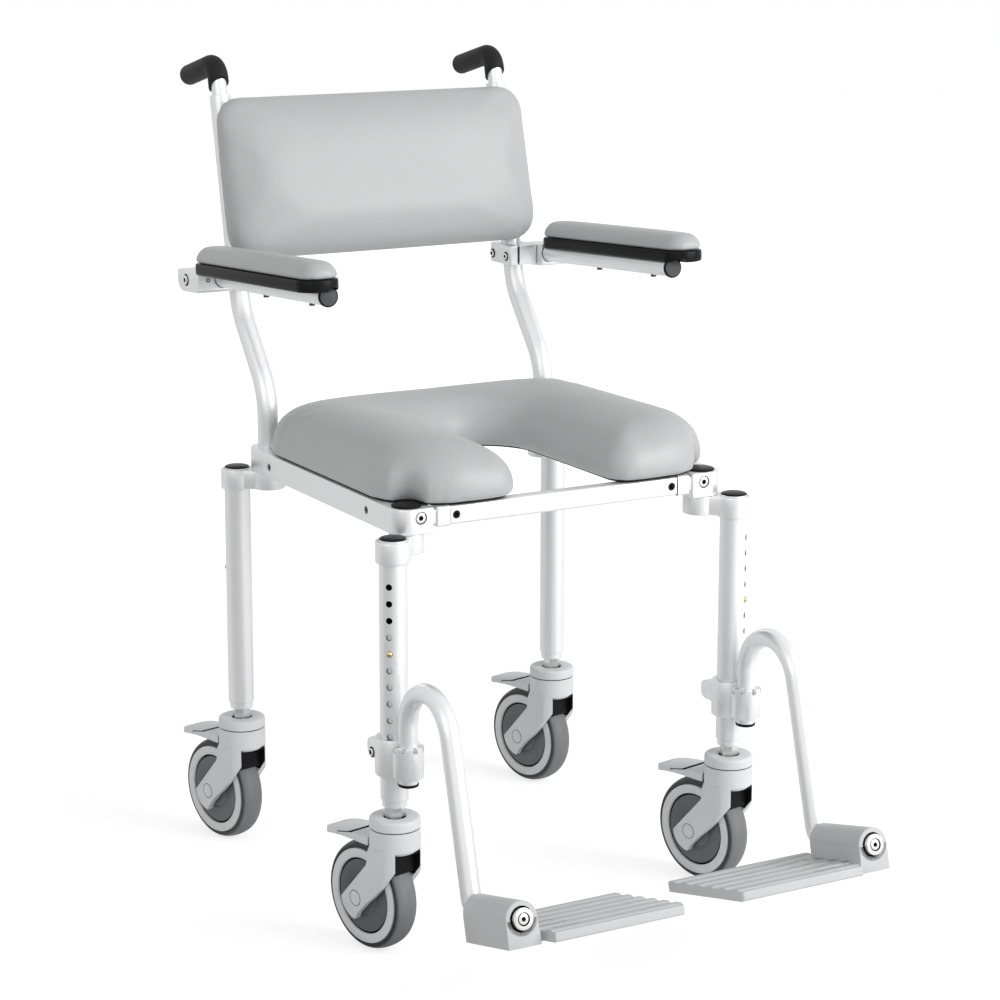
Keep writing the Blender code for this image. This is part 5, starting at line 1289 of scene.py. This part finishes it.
def make_armrests():
    block, washer, lining = arm_clamp_solids()
    hinge_block, tube, base = arm_block_solid(), arm_tube_solid(), arm_base_solid()
    # A ring of painted shade where the arm tube enters the hinge block
    crease = moved(rod(ARM_TUBE_RADIUS + 0.0007, -BLOCK_FRONT - 0.0005, -BLOCK_FRONT + 0.002, ROUND),
                   arm_tube_lay())
    rim, disc = arm_end_solid(ARM_CAP_RIM), arm_end_solid(ARM_CAP_DISC)
    clamp_screw = screw_mesh("clamp_screw", 0.0045, 0.0018, 0.0022, 0.0014)
    clamp_ring = ring_mesh("clamp_screw_ring", 0.0060, 0.0052, 0.0004)
    pivot_bolt = screw_mesh("arm_pivot_bolt", 0.0058, 0.0024, 0.0026, 0.0020)
    pivot_ring = ring_mesh("arm_pivot_ring", 0.0074, 0.0066, 0.0006)
    set_screw = screw_mesh("arm_set_screw", 0.0026, 0.0008, 0.0013, 0.0007, CAP_GREY)
    under_screw = screw_mesh("arm_under_screw", 0.0036, 0.0030, 0.0016, 0.0014, CAP_GREY)
    for hand, side in SIDES.items():
        show_hand(hand, "armrest_clamp_finish", block, ALUMINIUM, "frame", ROOT, "armrest_clamp")
        show_hand(hand, "arm_hinge_washer", washer, PAINTED_SHADE, "frame", ROOT)
        show_hand(hand, "clamp_slit", lining, PAINTED_SHADE, "frame", ROOT)
        for number, along in enumerate(CLAMP_SCREWS):
            spot = facing(side * (CORNER_X - CLAMP_INBOARD), CLAMP_MIDDLE + along, ARM_Z - 0.0015,
                          (-side, 0, 0))
            show(f"clamp_screw_{hand}_{number}", clamp_screw, STEEL, "frame", spot)
            show(f"clamp_screw_ring_{hand}_{number}", clamp_ring, PAINTED_SHADE, "frame", spot)
        body = "armrest_" + hand
        place = arm_place()
        show_hand(hand, "arm_hinge_block", hinge_block, ALUMINIUM, body, place, "armrest_arm")
        show_hand(hand, "arm_tube", tube, ALUMINIUM, body, place)
        show_hand(hand, "arm_tube_crease", crease, PAINTED_SHADE, body, place)
        show_hand(hand, "arm_cap_rim", rim, BLACK, body, place)
        show_hand(hand, "arm_cap_disc", disc, CAP_GREY, body, place)
        show_hand(hand, "armrest_base_finish", base, BLACK, body, place, "armrest_base")
        pivot = place @ at(side * (BLOCK_INNER + BLOCK_WIDTH - 0.0003), 0.0, -0.0020) @ pointing((side, 0, 0))
        show_one(hand, "arm_pivot_bolt", pivot_bolt, STEEL, body, pivot)
        show_one(hand, "arm_pivot_ring", pivot_ring, PAINTED_SHADE, body, pivot)
        front = place @ at(side * 0.2500, -BLOCK_FRONT + 0.0003, -0.0010) @ pointing((0, -1, 0))
        show_one(hand, "arm_set_screw", set_screw, CAP_GREY, body, front)
        for number, y in enumerate(UNDER_SCREWS):
            under = place @ at(side * ARM_X, y, -ARM_TUBE_RADIUS + 0.0002) @ pointing((0, 0, -1))
            show_one(hand, f"arm_under_screw_{number}", under_screw, CAP_GREY, body, under)


# Footrests

def foot_clamp_solid():
    """Clamp round the front leg with a notched socket in front of it, about the leg's axis."""
    wall = LEG_RADIUS + GAP + CLAMP_WALL
    edge = [(-0.0012, 0.0), (-0.00036, 0.00036), (0.0, 0.0012)]
    collar = turned([(wall + inset, CLAMP_LOW + rise) for inset, rise in edge]
                    + [(wall + inset, CLAMP_TOP - rise) for inset, rise in reversed(edge)])
    middle = (CLAMP_LOW + CLAMP_TOP) / 2
    low, high = middle - EAR_HALF_HEIGHT, middle + EAR_HALF_HEIGHT
    ear = rounded_outline([(CLAMP_WALL, low), (EAR_BACK, low), (EAR_BACK, high), (CLAMP_WALL, high)],
                          [0.001, EAR_ROUND, EAR_ROUND, 0.001], steps=8)
    ear = eased(side_profile(ear, -EAR_HALF, EAR_HALF), 0.0009, 2)
    notch_low = SOCKET_TOP - NOTCH_DEPTH
    web = box((-CLAMP_WEB, -SOCKET_FORWARD, SOCKET_LOW + 0.002), (CLAMP_WEB, 0, notch_low - 0.002))
    eased(web, 0.0012, 2)
    socket = turned([(SOCKET_RADIUS - 0.0012, SOCKET_LOW), (SOCKET_RADIUS - 0.0004, SOCKET_LOW + 0.0004),
                     (SOCKET_RADIUS, SOCKET_LOW + 0.0012), (SOCKET_RADIUS, SOCKET_TOP - 0.0008),
                     (SOCKET_RADIUS - 0.0008, SOCKET_TOP)])
    body = joined(collar, ear, web, shifted(socket, y=-SOCKET_FORWARD))
    low, high = CLAMP_LOW - PAST, CLAMP_TOP + PAST
    bores = [rod(LEG_RADIUS + GAP, low, high, ROUND),
             shifted(rod(FOOT_TUBE_RADIUS + GAP, low, high, ROUND), y=-SOCKET_FORWARD),
             box((-0.0008, LEG_RADIUS - 0.002, low), (0.0008, 2 * EAR_BACK, high))]
    seat = at(y=-SOCKET_FORWARD)
    half, inside = NOTCH_WIDTH / 2, FOOT_TUBE_RADIUS * 0.8
    for step in range(-2, 3):
        notch = box((-half, -SOCKET_RADIUS * 1.15, notch_low), (half, -inside, SOCKET_TOP + PAST))
        bores.append(moved(notch, seat @ Matrix.Rotation(NOTCH_SPREAD * step, 4, "Z")))
    # Room for the cross pin's rear end once swung out, and for the snap button as the leg is drawn out
    rear = box((-half, inside, notch_low), (half, SOCKET_FORWARD - LEG_RADIUS - GAP / 2, high))
    bores.append(moved(rear, seat))
    path = box((LEG_RADIUS - 0.002, -HOLE_RADIUS - 0.0005, low),
               (LEG_RADIUS + BUTTON_PROUD + 0.0006, HOLE_RADIUS + 0.0005, high))
    bores.append(moved(path, Matrix.Rotation(-math.pi / 4, 4, "Z")))
    return cut(body, *bores)


def neck_solid():
    """Gooseneck about the socket's axis: up, over, down to the heel and forward."""
    socket_y = -LEG_Y - SOCKET_FORWARD
    crest = Vector((socket_y - NECK_RADIUS, NECK_TOP - NECK_RADIUS))
    to_heel = NECK_HEEL - crest
    swing = math.atan2(to_heel.y, to_heel.x) - math.acos(NECK_RADIUS / to_heel.length)
    bend = arc(crest, NECK_RADIUS, 0.0, swing % (2 * math.pi), 40)
    ahead = Vector((-math.cos(PLATE_TILT), math.sin(PLATE_TILT)))
    run = rounded_path([bend[-1], NECK_HEEL, NECK_HEEL + ahead * (BARREL_FRONT - CAP_RECESS)], [HEEL_RADIUS])
    path = [Vector((socket_y, FOOT_TUBE_LOW))] + bend + run[1:]
    path = [point - Vector((socket_y, 0)) for point in path]
    return swept(path, [FOOT_TUBE_RADIUS] * len(path), 48)


def plate_section():
    """Tread seen along its ridges: forward along X, up along Y, about the barrel's axis at the heel."""
    length = PLATE_FRONT_EDGE + PLATE_REAR_EDGE
    pitch = length / RIDGE_COUNT
    points = []
    for index in range(RIDGE_COUNT):
        start = -PLATE_REAR_EDGE + pitch * index
        groove = pitch * (1 - RIDGE_SHARE)
        for way, middle in ((1, start + groove * 0.65), (-1, start + pitch - groove * 0.65)):
            steps = range(7) if way > 0 else range(6, -1, -1)
            for step in steps:
                rise = (1 - math.cos(math.pi * step / 6)) / 2
                offset = groove * 0.15 * (step / 3 - 1)
                points.append(Vector((middle + way * offset, PLATE_TOP - RIDGE_HEIGHT * (1 - rise))))
    low = PLATE_TOP - PLATE_THICKNESS
    ends = ([Vector((PLATE_FRONT_EDGE, PLATE_TOP - RIDGE_HEIGHT))]
            + arc((PLATE_FRONT_EDGE - 0.003, low + 0.003), 0.003, 0.0, -math.pi / 2, 6)
            + arc((-PLATE_REAR_EDGE + 0.003, low + 0.003), 0.003, -math.pi / 2, -math.pi, 6)
            + [Vector((-PLATE_REAR_EDGE, PLATE_TOP - RIDGE_HEIGHT))])
    return points + ends


def footplate_solid():
    """Hinge barrel, its body and the ridged tread, level about the barrel's axis; the tread reaches to -X."""
    section = [Vector((-point.x, point.y)) for point in plate_section()]
    tread = side_profile(section, -PLATE_REACH, -0.004)
    wide = PLATE_REACH
    plan = rounded_outline(
        [(-wide, -PLATE_FRONT_EDGE), (-RECESS_FAR, -PLATE_FRONT_EDGE), (-RECESS_FAR, -RECESS_BACK),
         (wide, -RECESS_BACK), (wide, PLATE_REAR_EDGE), (-wide, PLATE_REAR_EDGE)],
        [0.005, 0.001, 0.003, 0.001, 0.001, 0.005], steps=6)
    tread = shared(tread, prism(plan, -2 * BODY_BOTTOM, BODY_BOTTOM))
    body = box((-BODY_INNER, -BARREL_FRONT, -BODY_BOTTOM), (BARREL_RADIUS, -BARREL_REAR, 0.0))
    above = box((-2 * BODY_INNER, -BARREL_FRONT - PAST, PLATE_TOP), (-BARREL_RADIUS, PAST, PAST))
    aside = box((-2 * BODY_INNER, -BARREL_FRONT - PAST, -2 * BODY_BOTTOM), (-RECESS_NEAR, -RECESS_BACK, PAST))
    body = eased(cut(body, above, aside), 0.0009, 2)
    soft = 0.0009
    barrel = forward(turned([(BARREL_RADIUS - soft, BARREL_REAR), (BARREL_RADIUS, BARREL_REAR + soft),
                             (BARREL_RADIUS, BARREL_FRONT - soft), (BARREL_RADIUS - soft, BARREL_FRONT)]))
    bore = forward(rod(FOOT_TUBE_RADIUS + GAP, 0.0, BARREL_FRONT + PAST, ROUND))
    recess = forward(rod(CAP_RECESS_RADIUS, BARREL_FRONT - CAP_RECESS, BARREL_FRONT + PAST, ROUND))
    drains = [prism(drain_outline(index), -2 * BODY_BOTTOM, 0.0) for index in range(DRAIN_COUNT)]
    return cut(joined(tread, body, barrel), bore, recess, together(drains))


def drain_outline(index, inset=0.0):
    middle = PLATE_REAR_EDGE - (PLATE_FRONT_EDGE + PLATE_REAR_EDGE) / RIDGE_COUNT * (index + 1)
    low, high = middle - DRAIN_WIDTH / 2, middle + DRAIN_WIDTH / 2
    near, far = -DRAIN_FROM_AXIS, -DRAIN_FROM_AXIS - DRAIN_LENGTH
    return rounded_outline([(far, low), (near, low), (near, high), (far, high)], [0.0030] * 4, 5, inset)


def footplate_shade_solid():
    """Dark linings: the walls of the drain slots and the sink round the end cap."""
    low, high = PLATE_TOP - PLATE_THICKNESS + 0.0005, PLATE_TOP - RIDGE_HEIGHT - 0.0003
    linings = [loft([[(point.x, point.y, level) for point in drain_outline(index, inset)]
                     for inset, level in ((0.0, low), (0.0, high), (0.0005, high), (0.0005, low))], True)
               for index in range(DRAIN_COUNT)]
    floor, rim = BARREL_FRONT - CAP_RECESS, BARREL_FRONT - 0.0012
    inner, outer, thin = CAP_RADIUS + 0.0001, CAP_RECESS_RADIUS, 0.0003
    linings.append(forward(turned([(inner, floor), (outer, floor), (outer, rim), (outer - thin, rim),
                                   (outer - thin, floor + thin), (inner, floor + thin)], closed=True)))
    return together(linings)


def cap_mesh():
    front = BARREL_FRONT - CAP_RECESS + GAP
    high = front + CAP_THICKNESS
    cap = forward(turned([(CAP_RADIUS, front), (CAP_RADIUS, high - 0.0010),
                          (CAP_RADIUS - 0.0003, high - 0.0003), (CAP_RADIUS - 0.0010, high),
                          (0.0072, high), (0.0070, high - 0.0003), (0.0070, high - 0.0035)]))
    # The walls and floor of the cap's middle recess take painted shade
    floor = 0.0071
    return mesh_of("footplate_cap_finish", cap, STEEL, PAINTED_SHADE,
                   dark=lambda point: math.hypot(point.x, point.z) < floor and point.y > -high + 0.0001)


def make_footrests():
    clamp, plate, shade = foot_clamp_solid(), footplate_solid(), footplate_shade_solid()
    neck = mesh_of("footrest_tube_finish", neck_solid(), ALUMINIUM)
    cap = cap_mesh()
    cap_screw = screw_mesh("footplate_cap_screw", 0.0060, 0.0030, 0.0024, 0.0018)
    ear_screw = screw_mesh("foot_clamp_screw", 0.0048, 0.0026, 0.0027, 0.0020)
    ear_ring = ring_mesh("foot_clamp_ring", 0.0062, 0.0055, 0.0008)
    plug = mesh_of("foot_socket_plug", turned(SOCKET_PLUG), BLACK)
    pin = mesh_of("foot_cross_pin", along_x(rod(0.0021, -0.0168, 0.0168)), STEEL)
    cap_front = BARREL_FRONT - CAP_RECESS + GAP + CAP_THICKNESS
    for hand, side in SIDES.items():
        leg = ROOT @ at(side * LEG_X, -LEG_Y)
        show_hand(hand, "footrest_clamp_finish", clamp, ALUMINIUM, "frame", leg, "footrest_clamp")
        spot = leg @ at(side * (EAR_HALF - 0.0004), 0.0338, (CLAMP_LOW + CLAMP_TOP) / 2 - 0.0055)
        spot = spot @ pointing((side, 0, 0))
        show_one(hand, "foot_clamp_screw", ear_screw, STEEL, "frame", spot)
        show_one(hand, "foot_clamp_ring", ear_ring, PAINTED_SHADE, "frame", spot)
        swing = leg @ at(y=-SOCKET_FORWARD)
        body = "footrest_" + hand
        show_one(hand, "footrest_tube_finish", neck, ALUMINIUM, body, swing, "footrest_tube")
        show_one(hand, "foot_socket_plug", plug, BLACK, body, swing @ at(z=FOOT_TUBE_LOW))
        show_one(hand, "foot_cross_pin", pin, STEEL, body, swing @ at(z=SOCKET_TOP - NOTCH_DEPTH + 0.0024))
        heel = (swing @ at(0, NECK_HEEL.x + LEG_Y + SOCKET_FORWARD, NECK_HEEL.y)
                @ Matrix.Rotation(-PLATE_TILT, 4, "X"))
        show_hand(hand, "footplate_finish", plate, PLATE_GREY, "footplate_" + hand, heel, "footplate")
        show_hand(hand, "footplate_shade", shade, PAINTED_SHADE, "footplate_" + hand, heel)
        show_one(hand, "footplate_cap_finish", cap, STEEL, body, heel, "footplate_end_cap")
        show_one(hand, "footplate_cap_screw", cap_screw, STEEL, body,
                 heel @ at(y=0.0034 - cap_front) @ Matrix.Rotation(math.pi / 2, 4, "X"))


# Room, light and camera

def lamp(name, power, size, place, target):
    light = bpy.data.lights.new(name, "AREA")
    light.energy, light.size = power, size
    stand = bpy.data.objects.new(name, light)
    stand.matrix_world = at(*place) @ pointing(Vector(place) - Vector(target))
    bpy.context.scene.collection.objects.link(stand)


def make_room():
    """White floor that keeps the chair's shadow, a bright surround, a large soft key light and a weak fill.

    In the metal's reflections the floor glows as a painted reflection, with a painted dim sector to the left
    of the chair, as the unlit part of a studio is.
    """
    scene = bpy.context.scene
    scene.view_settings.view_transform = "Standard"

    floor = Finish("white_floor", "", {"Roughness": 0.9, "Specular IOR Level": 0.0, "Emission Strength": 1.0})
    seen = floor.node("ShaderNodeLightPath", {}, {}, "Is Camera Ray")
    shiny = floor.node("ShaderNodeLightPath", {}, {}, "Is Glossy Ray")
    bearing = floor.node("ShaderNodeVectorMath", {"operation": "NORMALIZE"}, {0: floor.place()})
    ahead = floor.node("ShaderNodeVectorMath", {"operation": "DOT_PRODUCT"}, {0: bearing, 1: DIM_SIDE},
                       "Value")
    away = floor.node("ShaderNodeVectorMath", {"operation": "LENGTH"}, {0: floor.place()}, "Value")
    dim = floor.ramp(ahead, 0.45, 0.95)
    far = floor.ramp(away, 1.0, 2.6)
    # Painted reflection: to glossy rays the floor glows, and its base and glow are dimmed towards DIM_SIDE
    floor.feed("Base Color", seen * 0.45 + (1.0 - seen) * (0.80 - dim * shiny * 0.45))
    floor.feed("Emission Color", seen * (0.720 + far * 0.25) + shiny * (1.0 - dim * 0.8) * 0.30)
    ground = bpy.data.objects.new("floor", mesh_of("floor", box((-9, -9, -0.02), (9, 9, 0.0)), floor))
    scene.collection.objects.link(ground)

    world = bpy.data.worlds.new("surround")
    scene.world = world
    sky = Shading(world, "Background", {"Strength": 1.0})
    path = {kind: sky.node("ShaderNodeLightPath", {}, {}, kind)
            for kind in ("Is Camera Ray", "Is Glossy Ray", "Is Transmission Ray")}
    seen = path["Is Camera Ray"] + path["Is Transmission Ray"] + path["Is Glossy Ray"] * 0.85
    sky.feed("Color", sky.tint(seen, (SKY, SKY, SKY), (1.0, 1.0, 1.0)))

    lamp("key_light", KEY_POWER, 2.4, (2.2, -3.0, 1.95), (0, 0, 0.55))
    lamp("fill_light", FILL_POWER, 2.5, (-2.8, -1.8, 2.0), (0, 0, 0.4))


def make_camera():
    turn, rise = math.radians(-29.018), math.radians(12.238)
    away = Vector((math.sin(turn) * math.cos(rise), -math.cos(turn) * math.cos(rise), math.sin(rise)))
    lens = bpy.data.cameras.new("camera")
    lens.sensor_width, lens.lens = 36.0, 97.988
    lens.shift_x, lens.shift_y = 0.020043, -0.046006
    camera = bpy.data.objects.new("camera", lens)
    camera.matrix_world = at(-1.54607, -2.73344, 1.20882) @ pointing(away)
    bpy.context.scene.collection.objects.link(camera)
    bpy.context.scene.camera = camera


make_seat()
make_back_cushion()
make_arm_pads()
make_legs()
make_frame()
make_uprights()
make_armrests()
make_footrests()
make_room()
make_camera()
